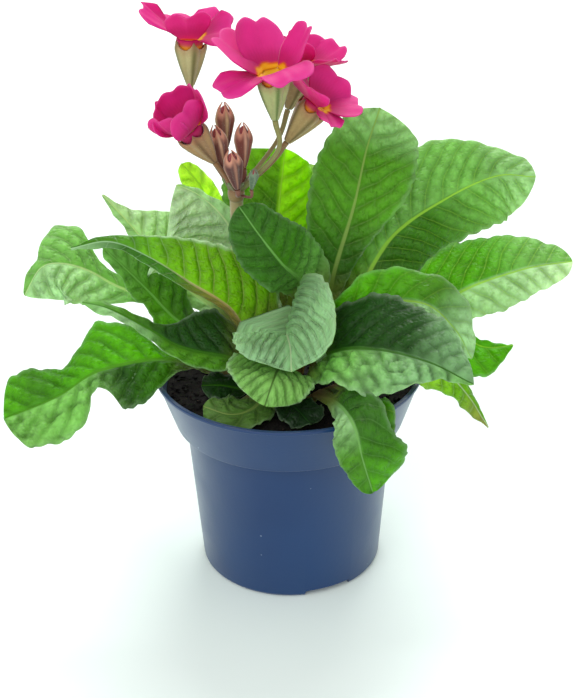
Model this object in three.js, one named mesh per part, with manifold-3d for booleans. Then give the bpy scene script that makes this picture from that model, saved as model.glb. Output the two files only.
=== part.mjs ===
// Potted oxlip: a flowering primula of the oxlip kind, rooted in the soil of its nursery pot.
// Millimetres, +Z up. The origin is the middle of the pot's foot, and the front is -Y.
import * as THREE from 'three';
import { mergeVertices } from 'three/addons/utils/BufferGeometryUtils.js';
import Module from 'manifold-3d';

const wasm = await Module();
wasm.setup();

// Driving sizes of the pot
const RIM_RADIUS = 52.5;
const POT_HEIGHT = 85.1;
const LIP_HEIGHT = 1.5;
const LIP_WIDTH = 0.8;
const LIP_EDGE = 0.3;
const COLLAR_HEIGHT = 21.2;
const COLLAR_FOOT_RADIUS = 45.1;
const BODY_TOP_RADIUS = 41.1;
const FOOT_RADIUS = 36.2;
const WALL = 0.95;
const FLOOR_LIFT = 3.2;
const FOOT_RING = 2.4;
const FOOT_BEVEL = 1.2;
const STUD = { radius: 8, sides: 15 };
const POT_SIDES = 48;
const NOTCH = { count: 3, first: 294, width: 19.5, height: 2.7, depth: 8 };
const DRAIN = { count: 4, first: 45, radius: 4.5, ring: 20, sides: 8 };

// Soil
const CLEAR = 0.35;
const HOLE_CLEAR = 0.5;
const SOIL_TOP = 77;
const SOIL_BUMP = 1.3;
const SOIL_RINGS = 4;
const SOIL_SIDES = 24;
const SOIL_SEED = 7;

// Leaves: every leaf is one blade on a winged stalk that stands in its own hole in the soil
const ROOT_DEPTH = 9;
const ROOT_RISE = 4;
const BLADE_THICK = 0.9;
const EDGE_THICK = 0.72;
const RIB = { thick: 1.3, spread: 0.45, fade: 0.7 };
const STALK = { half: 2.6, taper: 12, tip: 0.3 };
const FLAT_ROOT = [12, 26];
const UNTURNED_ROOT = 20;
const TIP_ROUND = 0.985;
const ROW_PACKING = 1.4;
const SCALLOP = { depth: 0.06, start: 0.25 };
const RIGHT_LAG = 1.7;
const LEAF_DEFAULTS = {
  rows: 10, cols: 4, from: 0.3, belly: 0.9, point: 0.5,
  fold: [10, 5], curl: [-10, -30], wave: 1, waves: 3, phase: 0, formLeft: [1, 1], formRight: [1, 1],
};
// root: where the stalk enters the soil. midrib: the points it then passes. face: the way the upper
// side looks, from base to tip. width: greatest half width on the left and right of the midrib.
// from: where the blade starts. belly and point: fullness at the base and bluntness at the tip.
// fold and curl: degrees that each half lifts at the midrib and turns on the way to its margin.
// formLeft and formRight: how much each half is widened or narrowed, from the blade's base to its tip.
const LEAVES = [
  { name: 'leaf_01', root: [4, 7],
    midrib: [[14, 12, 94], [18, 17, 115], [26, 22, 142], [31, 26, 164], [36, 26, 180.5]],
    face: [[-0.2, -1, 0], [-0.1, -1, 0.3], [0, -1, 0.5]], width: [17, 23], from: 0.34, belly: 0.62,
    point: 0.42, fold: [20, 12], curl: [-10, -20],
    formLeft: [1, 1, 1, 1.04, 1.1, 1.12, 1.12, 1.08, 1, 0.95, 0.95],
    formRight: [0.6, 0.5, 0.45, 0.48, 0.57, 0.72, 0.87, 0.94, 0.98, 1.05, 1.3] },
  { name: 'leaf_02', root: [11, 8],
    midrib: [[25, 15, 103], [41, 26, 127], [64, 40, 138], [84, 42, 146.5], [99, 39, 147]],
    face: [[-0.5, -0.6, 0.4], [-0.3, -0.75, 0.6], [0.1, -0.6, 0.8]], width: [27, 20], belly: 0.5,
    point: 0.55, fold: [0, -20], curl: [-20, -50], foldLeft: [20, 8], curlLeft: [-20, -20],
    formLeft: [1, 0.95, 0.95, 0.95, 1.05, 1.15, 1.02, 0.97, 0.78, 0.62, 0.9],
    formRight: [1, 1, 1, 1, 0.95, 0.9, 0.98, 1.1, 1.25, 1.5, 1.7] },
  { name: 'leaf_03', root: [20, 3],
    midrib: [[36, 5, 94], [55, 6, 105], [70, 7, 114], [90, 8, 121], [110, 9, 124]],
    face: [[-0.5, -0.3, 0.8], [-0.1, -0.55, 0.85], [0.1, -0.6, 0.8]], width: [18, 15], from: 0.28,
    belly: 0.6, point: 0.42, formLeft: [1, 1, 1.05, 1.1, 1.2, 1.25, 1.14, 1.03, 0.93, 0.86, 0.9],
    formRight: [1, 1, 1, 0.95, 0.88, 0.84, 0.97, 0.93, 0.78, 0.76, 0.9] },
  { name: 'leaf_04', root: [12, 0],
    midrib: [[21, -4, 104], [37, -3, 113], [52, -6, 114], [63, -10, 106], [70, -14, 94]],
    face: [[-0.3, -0.3, 0.9], [0, -0.2, 1], [0.7, -0.2, 0.7]], width: [13, 8], from: 0.2, belly: 0.8,
    point: 0.6, fold: [10, 5], curl: [-40, -60], foldLeft: [40, 55, 20], curlLeft: [10, -10] },
  { name: 'leaf_05', root: [7, -7],
    midrib: [[11, -16, 95.5], [22, -25, 105], [38, -33, 107.5], [53, -37, 104.5], [68, -36, 95]],
    face: [[-0.4, -0.3, 0.8], [0, -0.35, 0.9], [0.3, -0.4, 0.85]], width: [27, 16], from: 0.27, belly: 0.42,
    point: 0.6, fold: [15, 5], curl: [-10, -38], foldLeft: [40, 32, 20],
    formLeft: [0.8, 0.8, 0.8, 0.83, 0.87, 0.88, 0.89, 0.9, 0.97, 1.1, 1.1],
    formRight: [1, 1.05, 1.15, 1.15, 1.3, 1.38, 1.25, 0.85, 0.4, 0.35, 0.5] },
  { name: 'leaf_06', root: [19, 10],
    midrib: [[37, 10, 92], [53, 14, 95], [66, 16, 92], [78, 16, 84], [90, 14, 85]],
    face: [[-0.3, -0.3, 0.9], [0, -0.5, 0.9]], width: [8, 10], from: 0.45, belly: 0.6, point: 0.8,
    formLeft: [1, 1, 1, 0.8, 0.35, 0.2, 0.4], formRight: [1, 1, 1.1, 1.5, 2.1, 2, 1.1], rows: 8 },
  { name: 'leaf_07', root: [19, -4],
    midrib: [[32, -8, 93], [45, -13, 96], [58, -17, 92], [69, -18, 80], [77, -18, 66]],
    face: [[-0.3, -0.3, 0.9], [0.3, -0.4, 0.9]], width: [11, 7], belly: 0.6, point: 0.8, curl: [-60, -90],
    formRight: [1, 1, 1.5, 1.6, 1.3, 1.1, 1, 0.8], rows: 8 },
  { name: 'leaf_08', root: [4, 1],
    midrib: [[7, 8, 97], [6.6, 8, 115], [-2, -5, 131], [-10, -10.5, 145], [-17, -10, 156]],
    face: [[0.3, 0.6, 0.2], [0.1, -0.9, 0.3], [0, -0.8, 0.6]], width: [17, 18], from: 0.42, belly: 0.35,
    point: 0.42, formLeft: [0.6, 0.6, 0.6, 0.62, 0.66, 0.7, 0.76, 0.8, 0.82, 0.8, 0.85],
    formRight: [0.9, 0.9, 0.9, 0.9, 0.92, 0.9, 0.86, 0.77, 0.72, 0.75, 0.85] },
  { name: 'leaf_09', root: [-4, -2],
    midrib: [[-1, -8, 94], [-1, -12, 104], [0, -17, 106], [1, -26, 105], [1, -33, 100]],
    face: [[0, 1, 0.2], [0, -0.3, 1], [0, -0.8, 0.6]], width: [26, 25], from: 0.5, belly: 0.2, point: 0.4,
    fold: [25, 20], curl: [0, -20], foldLeft: [75, 70, 40],
    formRight: [0.7, 0.75, 0.8, 0.82, 0.84, 0.87, 0.93, 1, 1.06, 1.1, 1.2] },
  { name: 'leaf_10', root: [0, -9], midrib: [[-2, -17, 92], [-4, -26, 97], [-6, -36, 97], [-9, -41, 90]],
    face: [[0, 0.3, 1], [0, -0.5, 0.9], [0, -0.8, 0.5]], width: [17, 19], from: 0.36, belly: 0.5,
    point: 0.4, formLeft: [0.9, 0.9], formRight: [1, 1.05, 1.05, 1, 0.95, 0.95] },
  { name: 'leaf_11', root: [-8, -15],
    midrib: [[-10, -22, 83], [-14, -30, 83], [-22, -35, 83.5], [-32, -33, 86]],
    face: [[0, -0.2, 1], [-0.1, -0.3, 0.9]], width: [9, 11.5], from: 0.4, belly: 0.45, point: 0.5,
    rows: 7 },
  { name: 'leaf_12', root: [-1, -19], midrib: [[0, -27, 84], [4, -35, 84.5], [8, -42, 83]],
    face: [[0, -0.2, 1], [0, -0.4, 0.9]], width: [10, 8], from: 0.45, belly: 0.4, point: 0.5,
    formLeft: [0.45, 0.8, 1.3], formRight: [0.8, 1, 1.2], rows: 7 },
  { name: 'leaf_13', root: [9, -16],
    midrib: [[15, -32, 87.6], [20, -47.5, 91.2], [23.5, -58, 89.5], [26, -61, 79], [30, -58.5, 63]],
    face: [[0, -0.2, 1], [0.1, -1, 0.3], [0.1, -1, 0]], width: [16, 9], from: 0.36, belly: 0.7, point: 0.42,
    formLeft: [1, 0.95, 0.8, 0.8, 0.95, 0.82, 0.9, 1.1, 1.1, 0.96, 1],
    formRight: [1.15, 1.1, 1.04, 0.93, 0.93, 1.08, 1.06, 0.97, 0.88, 0.88, 0.95] },
  { name: 'leaf_14', root: [15, -11], midrib: [[22, -28, 88], [27, -42, 91], [32, -52, 91], [35, -56, 83]],
    face: [[0, -0.2, 1], [0.3, -1, 0.3]], width: [7.5, 7], from: 0.25, rows: 7 },
  { name: 'leaf_15', root: [-18, -5],
    midrib: [[-34, -9, 90], [-49, -14, 96], [-71, -20, 95], [-86, -26, 88], [-107, -31, 81]],
    face: [[0, -0.2, 1], [0, -0.5, 0.9], [-0.2, -0.5, 0.85]], width: [18, 17], from: 0.28, belly: 0.6,
    point: 0.35, wave: 3, waves: 2, phase: 1.6,
    formLeft: [0.5, 0.52, 0.55, 0.65, 0.8, 0.95, 1.14, 1.22, 1.28, 1.2, 0.66, 0.42, 0.48, 0.7, 0.87, 0.97,
      1.02, 1.08, 1.2, 1.4, 1.7],
    formRight: [0.6, 0.55, 0.5, 0.48, 0.52, 0.8, 1.1, 1.2, 1.3, 1.4, 1.1, 0.85, 0.73, 0.76, 0.87, 0.95,
      1.07, 1.16, 1.3, 1.4, 1.6],
    rows: 15 },
  { name: 'leaf_16', root: [-19, 8],
    midrib: [[-29, 16, 91], [-50, 18, 104], [-67, 18, 112], [-77, 17, 119], [-87, 14, 124], [-95, 10, 124],
      [-102, 6.5, 114]],
    face: [[0.3, -0.2, 0.9], [0, -0.5, 0.9], [-0.1, -0.6, 0.8]], width: [18, 27], from: 0.38, belly: 1.3,
    point: 0.4, formLeft: [0.5, 0.5, 0.5, 0.6, 0.9, 1.02, 0.95, 1.05, 1.12, 1.1, 0.8],
    formRight: [0.4, 0.4, 0.35, 0.32, 0.3, 0.3, 0.76, 0.76, 0.2, 0.16, 0.16] },
  { name: 'leaf_17', root: [-14, 2],
    midrib: [[-15, 2, 92], [-22, -1, 110], [-37, -4, 123], [-52, -4, 134], [-66, -3, 140], [-81, -2, 137]],
    face: [[0.3, -0.6, 0.5], [0.1, -0.9, 0.4], [0, -0.6, 0.9]], width: [7, 21], from: 0.22, belly: 0.4,
    point: 1.3, foldLeft: [-90, -60, -20], formRight: [1, 1, 1, 1, 1, 1, 0.9, 0.7, 0.55, 0.5, 0.5] },
  { name: 'leaf_18', root: [-17, 14],
    midrib: [[-21, 24, 91], [-39, 28, 105], [-52, 30, 120], [-63, 32, 134], [-72, 32, 145]],
    face: [[0.3, -0.4, 0.8], [0, -0.6, 0.8]], width: [6, 27], belly: 0.5, point: 0.9,
    formRight: [1, 1, 1, 1, 0.95, 0.92, 0.95, 0.8, 0.45, 0.25, 0.25] },
  { name: 'leaf_19', root: [-7, 13],
    midrib: [[-9, 15, 98], [-16, 19, 122], [-24, 22, 138], [-33, 24, 147], [-42, 24, 152]],
    face: [[0.2, -0.7, 0.5], [0.1, -0.8, 0.6]], width: [25, 9], from: 0.4, belly: 0.7, point: 0.35,
    formLeft: [1, 1, 1, 1.1, 1.25, 1.42, 1.5, 1.55, 1.55, 1.4, 1.2],
    formRight: [1, 1, 1, 1, 1, 0.85, 0.6, 0.4, 0.25, 0.2, 0.2] },
  { name: 'leaf_20', root: [-8, 20],
    midrib: [[-12, 31, 96], [-25, 40, 122], [-33.5, 44, 142], [-41, 44, 153]],
    face: [[0.2, -0.7, 0.5], [0.1, -0.8, 0.6]], width: [7, 6], from: 0.4, rows: 8 },
  { name: 'leaf_21', root: [-4, 7],
    midrib: [[-2, 10, 91], [-3, 22, 112], [-3, 30, 136], [-1, 34, 154], [0, 34, 162]],
    face: [[0.2, -1, 0.1], [0, -1, 0.4]], width: [17, 14], from: 0.4,
    formLeft: [1, 1, 1, 1.05, 1.1, 1.2, 1.3, 1.4, 1.5, 1.5, 1.4] },
  { name: 'leaf_22', root: [-9, -6],
    midrib: [[-14, -10, 91], [-25, -14, 97], [-40, -16, 102], [-51, -17, 110], [-66, -15, 118],
      [-77, -11, 119]],
    face: [[0.3, -0.3, 0.9], [0, -0.5, 0.9], [0, -0.5, 0.9]], width: [10, 18], from: 0.26, belly: 0.6,
    point: 1.1, formLeft: [0.9, 0.88, 0.79, 0.71, 0.66, 0.5, 0.38, 0.5, 0.7, 1.35, 1.4],
    formRight: [1.2, 1.5, 1.4, 1.1, 0.83, 0.42, 0.21, 0.2, 0.25, 0.4, 0.5] },
  { name: 'leaf_23', root: [-20, 1],
    midrib: [[-20, 8, 88], [-35, 10, 95], [-45, 10, 102], [-55, 10, 115], [-70, 8, 133]],
    face: [[0.3, -0.3, 0.9], [0, -0.6, 0.8]], width: [14, 15], from: 0.4, belly: 0.6, point: 0.6,
    formLeft: [1, 1, 1, 0.8, 0.5, 0.42, 0.5, 0.45, 0.38, 0.4, 0.5],
    formRight: [1, 1, 1, 1, 1.1, 1.2, 1.3, 1.3, 1.2, 1.1, 1] },
  { name: 'leaf_24', root: [-15, -12], midrib: [[-19, -15.5, 84], [-26, -18, 86.8], [-33, -20, 87.8]],
    face: [[0.3, -0.3, 0.9], [0, -0.5, 0.9]], width: [7, 7], from: 0.42, rows: 7 },
  { name: 'leaf_25', root: [9, 16], midrib: [[18, 32, 93], [32, 52, 103], [44, 70, 104], [54, 86, 96]],
    face: [[-0.4, -0.6, 0.7], [0, 0, 1], [0.3, 0.4, 0.8]], width: [16, 16], from: 0.35 },
  { name: 'leaf_26', root: [0, 21], midrib: [[-3, 38, 92], [-6, 58, 101], [-8, 76, 99], [-9, 92, 89]],
    face: [[0, -0.7, 0.7], [0, 0.1, 1], [0, 0.5, 0.8]], width: [17, 16], from: 0.32 },
  { name: 'leaf_27', root: [-12, 26],
    midrib: [[-24, 37, 92], [-39, 50, 102], [-52, 63, 102], [-63, 75, 93]],
    face: [[0.5, -0.5, 0.7], [0, 0.1, 1], [-0.3, 0.4, 0.8]], width: [15, 16], from: 0.35 },
  { name: 'leaf_28', root: [17, 17], midrib: [[30, 24, 90], [46, 33, 97], [62, 40, 97], [77, 45, 89]],
    face: [[-0.5, -0.4, 0.7], [0, 0, 1], [0.3, 0.1, 0.9]], width: [13, 13], from: 0.35, rows: 8 },
  { name: 'leaf_29', root: [1, 14], midrib: [[2.5, 26, 101], [7, 39, 125], [9, 44, 140], [8, 46, 151.5]],
    face: [[0, -1, 0.2], [0, -1, 0.4]], width: [12, 12], from: 0.42, rows: 8 },
];

// Flower head. base: the foot of the calyx. axis: the way the flower points. petals: for each one where
// it points, seen down the axis, its length and half width, the degrees that it rises at its root and at
// its tip, and the degrees that it is twisted at its tip.
const UMBEL = [-18.4, 0, 157];
const SCAPE_PATH = [[-11.5, 9, SOIL_TOP - ROOT_DEPTH], [-11.5, 9, SOIL_TOP + ROOT_RISE], [-16, 11, 98],
  [-18.7, 10.5, 118], [-18.7, 8, 138], UMBEL];
const SCAPE = { radius: 2.3, sides: 8, steps: 8 };
const KNOB = { radius: 3.1, sides: 8, rings: 6 };
const PEDICEL = { radius: 0.95, sides: 5, steps: 3, bend: 0.35 };
const SEAT_GAP = 0.3;
const BRACT = { count: 5, first: 20, root: 1, reach: 3.5, rise: 6, half: 1.3, tip: 0.3, thick: 0.8,
  lean: 0.4, rows: 3 };
const RIBBED_SIDES = 10;
const CALYX_PROFILE = [[0, 0], [1.3, 0.2], [2.5, 3.5], [4, 8], [5.1, 12], [5.7, 15],
  [5, 15], [4.3, 12], [3.2, 8], [1.9, 4.2], [0, 3.6]];
const CALYX = { rib: 0.1, toothStart: 10, tooth: 0.45 };
const BUD_RIB = 0.14;
const THROAT_PROFILE = [[0, 4.3], [1, 4.3], [2.4, 14], [3.3, 16], [4.6, 17.4], [4.2, 18.6], [2.2, 17.4],
  [0, 15.4]];
const THROAT_TOP = 18.1;
const PETAL = { rows: 4, cols: 4, root: 3.4, thick: 0.7, notch: 0.09, corner: 0.3, waist: 0.22, cup: 0.8,
  overlap: 1.1, ruffle: 0.4 };
const FLOWERS = [
  { name: 'upper_left', base: [-34, 8.5, 195.8], axis: [0.03, 0, 1], petals: [[190, 18.5, 5.8, 43, 36, -42],
    [268, 14.5, 8, 66, 40, 0], [350, 13, 8, 26, 14, 26], [44, 14.5, 8.5, 30, 24, 0],
    [122, 13, 8, 25, 20, 0]] },
  { name: 'half_open', base: [-25.7, -6, 172], axis: [-0.5, -0.3, 0.85], petals: [[20, 14.5, 8, 27, 96, 0],
    [92, 13.5, 8, 45, 105, 0], [164, 12.3, 8, 43, 98, 0], [236, 13, 8, 45, 105, 0],
    [308, 13.5, 8, 36, 105, 0]] },
  { name: 'middle', base: [-3.4, -8, 188], axis: [-0.04, -0.1, 1], petals: [[161, 21, 11, 40, 36, 0],
    [109, 20, 10.5, 45, 50, 22], [24, 18.8, 8.5, 48, 60, -14], [296, 17, 9.5, 55, -35, 0],
    [208, 18.5, 7.5, 6, -20, -22]] },
  { name: 'back', base: [1.2, 17, 183.5], axis: [0.35, 0.2, 0.9], petals: [[30, 14, 8.5, 45, 62, 0],
    [96, 14, 8.5, 45, 62, 0], [164, 13, 8, 30, 40, 0], [236, 13, 8, 30, 40, 0], [316, 14, 8, 20, 34, 0]] },
  { name: 'right', base: [0.5, -2, 177.5], axis: [0.6, 0.05, 0.8], petals: [[78, 14, 8.5, 50, 62, 0],
    [15, 14, 8, 40, 34, 0], [312, 10, 5.5, -4, -10, 0], [236, 13, 8, 25, 30, 0],
    [152, 14, 8.5, 25, 25, 0]] },
];
const BUD_PROFILE = [[0, 0], [0.3, 0.03], [0.6, 0.25], [0.88, 0.5], [1, 0.7], [0.72, 0.88], [0, 1]];
const BUDS = [
  { name: 'bud_1', base: [-21.8, 5, 173], axis: [-0.02, 0.05, 1], half: 3.4, length: 17.5 },
  { name: 'bud_2', base: [-21.9, -2, 167], axis: [-0.2, -0.1, 1], half: 3.2, length: 18.5 },
  { name: 'bud_3', base: [-15.4, 2.5, 166], axis: [0, 0.05, 1], half: 3.3, length: 17.5 },
  { name: 'bud_4', base: [-17.7, -5.6, 161], axis: [-0.13, -0.17, 1], half: 3.4, length: 16.5 },
  { name: 'bud_5', base: [-12.5, -6, 161], axis: [0.15, -0.2, 1], half: 1.7, length: 9 },
];

// A closed mesh without doubled points, as a solid that can be joined and cut, and back
function toSolid(geometry) {
  const bare = geometry.clone();
  bare.deleteAttribute('normal');
  bare.deleteAttribute('uv');
  const merged = mergeVertices(bare, 1e-4);
  return new wasm.Manifold(new wasm.Mesh({
    numProp: 3,
    vertProperties: new Float32Array(merged.attributes.position.array),
    triVerts: new Uint32Array(merged.index.array),
  }));
}

function toGeometry(solid) {
  const mesh = solid.getMesh();
  const geometry = new THREE.BufferGeometry();
  geometry.setAttribute('position', new THREE.Float32BufferAttribute(mesh.vertProperties, 3));
  geometry.setIndex(Array.from(mesh.triVerts));
  return geometry;
}

function addPart(group, name, geometry, finish) {
  const material = new THREE.MeshStandardMaterial({ metalness: 0, ...finish });
  const mesh = new THREE.Mesh(geometry, material);
  mesh.name = name;
  group.add(mesh);
  return mesh;
}

// A number or a direction read off a short list that runs evenly from 0 to 1
function blend(list, t) {
  const place = THREE.MathUtils.clamp(t, 0, 1) * (list.length - 1);
  const k = Math.min(Math.floor(place), list.length - 2);
  if (typeof list[0] === 'number') return THREE.MathUtils.lerp(list[k], list[k + 1], place - k);
  return new THREE.Vector3(...list[k]).lerp(new THREE.Vector3(...list[k + 1]), place - k);
}

// A sheet of rows x cols cells with two faces split alike, closed round its edge
function sheetGeometry(rows, cols, surface) {
  const points = [];
  const faces = [];
  for (const side of [0, 1]) {
    for (let r = 0; r <= rows; r++) {
      for (let c = 0; c <= cols; c++) points.push(...surface(r, c)[side].toArray());
    }
  }
  const width = cols + 1;
  const under = width * (rows + 1);
  const quad = (a, b, c, d) => faces.push(a, b, c, a, c, d);
  for (let r = 0; r < rows; r++) {
    for (let c = 0; c < cols; c++) {
      const a = r * width + c;
      const [b, d] = [a + 1, a + width];
      const e = d + 1;
      if (c < cols / 2) {
        quad(a, b, e, d);
        faces.push(under + a, under + e, under + b, under + a, under + d, under + e);
      } else {
        faces.push(a, b, d, b, e, d);
        faces.push(under + a, under + d, under + b, under + b, under + d, under + e);
      }
    }
    const left = r * width;
    const right = left + cols;
    quad(left, left + width, under + left + width, under + left);
    quad(right, under + right, under + right + width, right + width);
  }
  for (let c = 0; c < cols; c++) {
    const last = rows * width + c;
    quad(c, under + c, under + c + 1, c + 1);
    quad(last, last + 1, under + last + 1, under + last);
  }
  const geometry = new THREE.BufferGeometry();
  geometry.setAttribute('position', new THREE.Float32BufferAttribute(points, 3));
  geometry.setIndex(faces);
  return geometry;
}

// Pot
const collarBase = POT_HEIGHT - COLLAR_HEIGHT;
const ledge = collarBase + WALL;
const lipBase = POT_HEIGHT - LIP_HEIGHT;
const innerRim = RIM_RADIUS - LIP_WIDTH - WALL;

// Radius of the inner wall at a height: the body's below the ledge, the collar's from the ledge up
function wallRadius(z) {
  const [low, high] = z < ledge
    ? [[FOOT_RADIUS, 0], [BODY_TOP_RADIUS, collarBase]]
    : [[COLLAR_FOOT_RADIUS, collarBase], [RIM_RADIUS - LIP_WIDTH, lipBase]];
  return THREE.MathUtils.mapLinear(z, low[1], high[1], low[0], high[0]) - WALL;
}

// The low round stud under the middle of the floor, on the plane that the foot ring stands on
function studGeometry() {
  const outline = new THREE.Shape();
  for (let k = 0; k < STUD.sides; k++) {
    const turn = 2 * Math.PI * k / STUD.sides;
    outline[k ? 'lineTo' : 'moveTo'](STUD.radius * Math.cos(turn), STUD.radius * Math.sin(turn));
  }
  return new THREE.ExtrudeGeometry(outline, { depth: FLOOR_LIFT + WALL / 2, bevelEnabled: false });
}

function potGeometry() {
  const floorTop = FLOOR_LIFT + WALL;
  const footOuter = FOOT_RADIUS - FOOT_BEVEL;
  const footInner = footOuter - FOOT_RING;
  const profile = [
    [0, FLOOR_LIFT], [footInner, FLOOR_LIFT], [footInner, 0], [footOuter, 0], [FOOT_RADIUS, FOOT_BEVEL],
    [BODY_TOP_RADIUS, collarBase], [COLLAR_FOOT_RADIUS, collarBase],
    [RIM_RADIUS - LIP_WIDTH, lipBase], [RIM_RADIUS, lipBase + LIP_EDGE],
    [RIM_RADIUS, POT_HEIGHT - LIP_EDGE], [RIM_RADIUS - LIP_EDGE, POT_HEIGHT],
    [innerRim, POT_HEIGHT], [innerRim, lipBase], [wallRadius(ledge), ledge],
    [BODY_TOP_RADIUS - WALL, ledge], [wallRadius(floorTop), floorTop], [0, floorTop],
  ].map(([r, z]) => new THREE.Vector2(r, z));
  const pot = new THREE.LatheGeometry(profile, POT_SIDES);
  pot.rotateX(Math.PI / 2);
  let solid = toSolid(pot).add(toSolid(studGeometry()));
  for (let k = 0; k < NOTCH.count; k++) {
    const cut = new THREE.BoxGeometry(NOTCH.depth, NOTCH.width, 2 * NOTCH.height);
    cut.translate(FOOT_RADIUS, 0, 0);
    cut.rotateZ(THREE.MathUtils.degToRad(NOTCH.first + 360 * k / NOTCH.count));
    solid = solid.subtract(toSolid(cut));
  }
  for (let k = 0; k < DRAIN.count; k++) {
    const hole = new THREE.CylinderGeometry(DRAIN.radius, DRAIN.radius, 4 * WALL, DRAIN.sides);
    hole.rotateX(Math.PI / 2);
    hole.translate(DRAIN.ring, 0, FLOOR_LIFT + WALL / 2);
    hole.rotateZ(THREE.MathUtils.degToRad(DRAIN.first + 360 * k / DRAIN.count));
    solid = solid.subtract(toSolid(hole));
  }
  return toGeometry(solid);
}

// Leaves
function leafPath(leaf) {
  const [x, y] = leaf.root;
  const points = [[x, y, SOIL_TOP - ROOT_DEPTH], [x, y, SOIL_TOP + ROOT_RISE], ...leaf.midrib];
  const curve = new THREE.CatmullRomCurve3(points.map((p) => new THREE.Vector3(...p)), false,
    'catmullrom', 0.5);
  curve.arcLengthDivisions = 600;
  return curve;
}

function leafFrame(leaf, path, t) {
  const along = path.getTangentAt(t);
  const turned = Math.max(t, UNTURNED_ROOT / path.getLength());
  const side = new THREE.Vector3().crossVectors(path.getTangentAt(turned), blend(leaf.face, turned));
  side.addScaledVector(along, -side.dot(along)).normalize();
  const up = new THREE.Vector3().crossVectors(side, along);
  return { at: path.getPointAt(t), along, side, up };
}

// How far across and up a half blade has come at q of its width, bending evenly on the way
function bentHalf(width, fold, curl, q) {
  if (Math.abs(curl) < 1e-3) return [width * q * Math.cos(fold), width * q * Math.sin(fold)];
  const end = fold + curl * q;
  return [width * (Math.sin(end) - Math.sin(fold)) / curl, width * (Math.cos(fold) - Math.cos(end)) / curl];
}

// How far along its midrib a leaf's row lies: the rows come closer together towards the tip
function rowPlace(leaf, row) {
  return 1 - (1 - row / leaf.rows) ** ROW_PACKING;
}

function leafGeometry(given) {
  const leaf = { ...LEAF_DEFAULTS, ...given };
  const path = leafPath(leaf);
  const length = path.getLength();
  const peak = leaf.belly / (leaf.belly + leaf.point);
  const surface = (row, col) => {
    const t = rowPlace(leaf, row);
    const frame = leafFrame(leaf, path, t);
    const u = TIP_ROUND * THREE.MathUtils.clamp((t - leaf.from) / (1 - leaf.from), 0, 1);
    const full = (u / peak) ** leaf.belly * ((1 - u) / (1 - peak)) ** leaf.point;
    const s = 2 * col / leaf.cols - 1;
    const q = Math.abs(s);
    const sign = s < 0 ? -1 : 1;
    const flat = THREE.MathUtils.smoothstep(t * length, ...FLAT_ROOT) * Math.PI / 180;
    const fold = flat * blend((s < 0 && leaf.foldLeft) || leaf.fold, t);
    const curl = flat * blend((s < 0 && leaf.curlLeft) || leaf.curl, t);
    const stalk = STALK.half * THREE.MathUtils.clamp(STALK.taper * (1 - t), STALK.tip, 1);
    const scallop = 1 - (row % 2 && full > SCALLOP.start ? SCALLOP.depth : 0);
    const form = blend(s < 0 ? leaf.formLeft : leaf.formRight, u);
    const width = Math.max(leaf.width[s < 0 ? 0 : 1] * full * form, stalk) * scallop;
    const [across, rise] = bentHalf(width, fold, curl, q);
    const turn = 2 * Math.PI * leaf.waves * u + leaf.phase + (s < 0 ? 0 : RIGHT_LAG);
    const wave = leaf.wave * q * q * Math.sin(turn) * Math.min(1, 1.5 * full);
    const tilt = fold + curl * q;
    const normal = frame.up.clone().multiplyScalar(Math.cos(tilt))
      .addScaledVector(frame.side, -sign * Math.sin(tilt));
    const rib = RIB.thick * (1 - t) ** RIB.fade * Math.max(0, 1 - q / RIB.spread);
    const thick = q === 1 ? EDGE_THICK : BLADE_THICK + rib;
    const top = frame.at.clone().addScaledVector(frame.side, sign * across)
      .addScaledVector(frame.up, rise + wave);
    return [top, top.clone().addScaledVector(normal, -thick)];
  };
  return sheetGeometry(leaf.rows, leaf.cols, surface);
}

// The hole in the soil that a leaf's stalk stands in, which follows the stalk a little clear of it
function stalkHole(given) {
  const leaf = { ...LEAF_DEFAULTS, ...given };
  const path = leafPath(leaf);
  const clearOfSoil = SOIL_TOP + SOIL_BUMP + 1;
  let rows = 1;
  while (path.getPointAt(rowPlace(leaf, rows)).z < clearOfSoil) rows += 1;
  return sheetGeometry(rows, 1, (row, col) => {
    const frame = leafFrame(leaf, path, rowPlace(leaf, row));
    const across = (2 * col - 1) * (STALK.half + HOLE_CLEAR);
    const top = frame.at.clone().addScaledVector(frame.side, across)
      .addScaledVector(frame.up, HOLE_CLEAR);
    if (row === 0) top.addScaledVector(frame.along, -HOLE_CLEAR);
    return [top, top.clone().addScaledVector(frame.up, -(BLADE_THICK + RIB.thick + 2 * HOLE_CLEAR))];
  });
}

// Soil: fills the pot to a little under its rim, uneven on top
function soilGeometry(holes) {
  const random = seeded(SOIL_SEED);
  const base = FLOOR_LIFT + WALL + CLEAR;
  const step = ledge + CLEAR;
  const outer = wallRadius(SOIL_TOP) - CLEAR;
  const profile = [[0, base], [wallRadius(base) - CLEAR, base], [BODY_TOP_RADIUS - WALL - CLEAR, step],
    [wallRadius(step) - CLEAR, step]];
  for (let k = 0; k <= SOIL_RINGS; k++) profile.push([outer * (1 - k / SOIL_RINGS), SOIL_TOP]);
  const points = profile.map(([r, z]) => new THREE.Vector2(r, z));
  const soil = new THREE.LatheGeometry(points, SOIL_SIDES);
  soil.rotateX(Math.PI / 2);
  soil.deleteAttribute('normal');
  soil.deleteAttribute('uv');
  const merged = mergeVertices(soil, 1e-4);
  const position = merged.attributes.position;
  for (let k = 0; k < position.count; k++) {
    const inside = Math.hypot(position.getX(k), position.getY(k)) < 0.99 * outer;
    if (inside && position.getZ(k) > step) {
      position.setZ(k, SOIL_TOP + SOIL_BUMP * (2 * random() - 1));
    }
  }
  return toGeometry(holes.reduce((rest, hole) => rest.subtract(toSolid(hole)), toSolid(merged)));
}

// The same even run of numbers between 0 and 1 each time, from a whole-number seed
function seeded(seed) {
  let state = seed;
  return () => {
    state = (state * 16807) % 2147483647;
    return state / 2147483647;
  };
}

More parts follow.
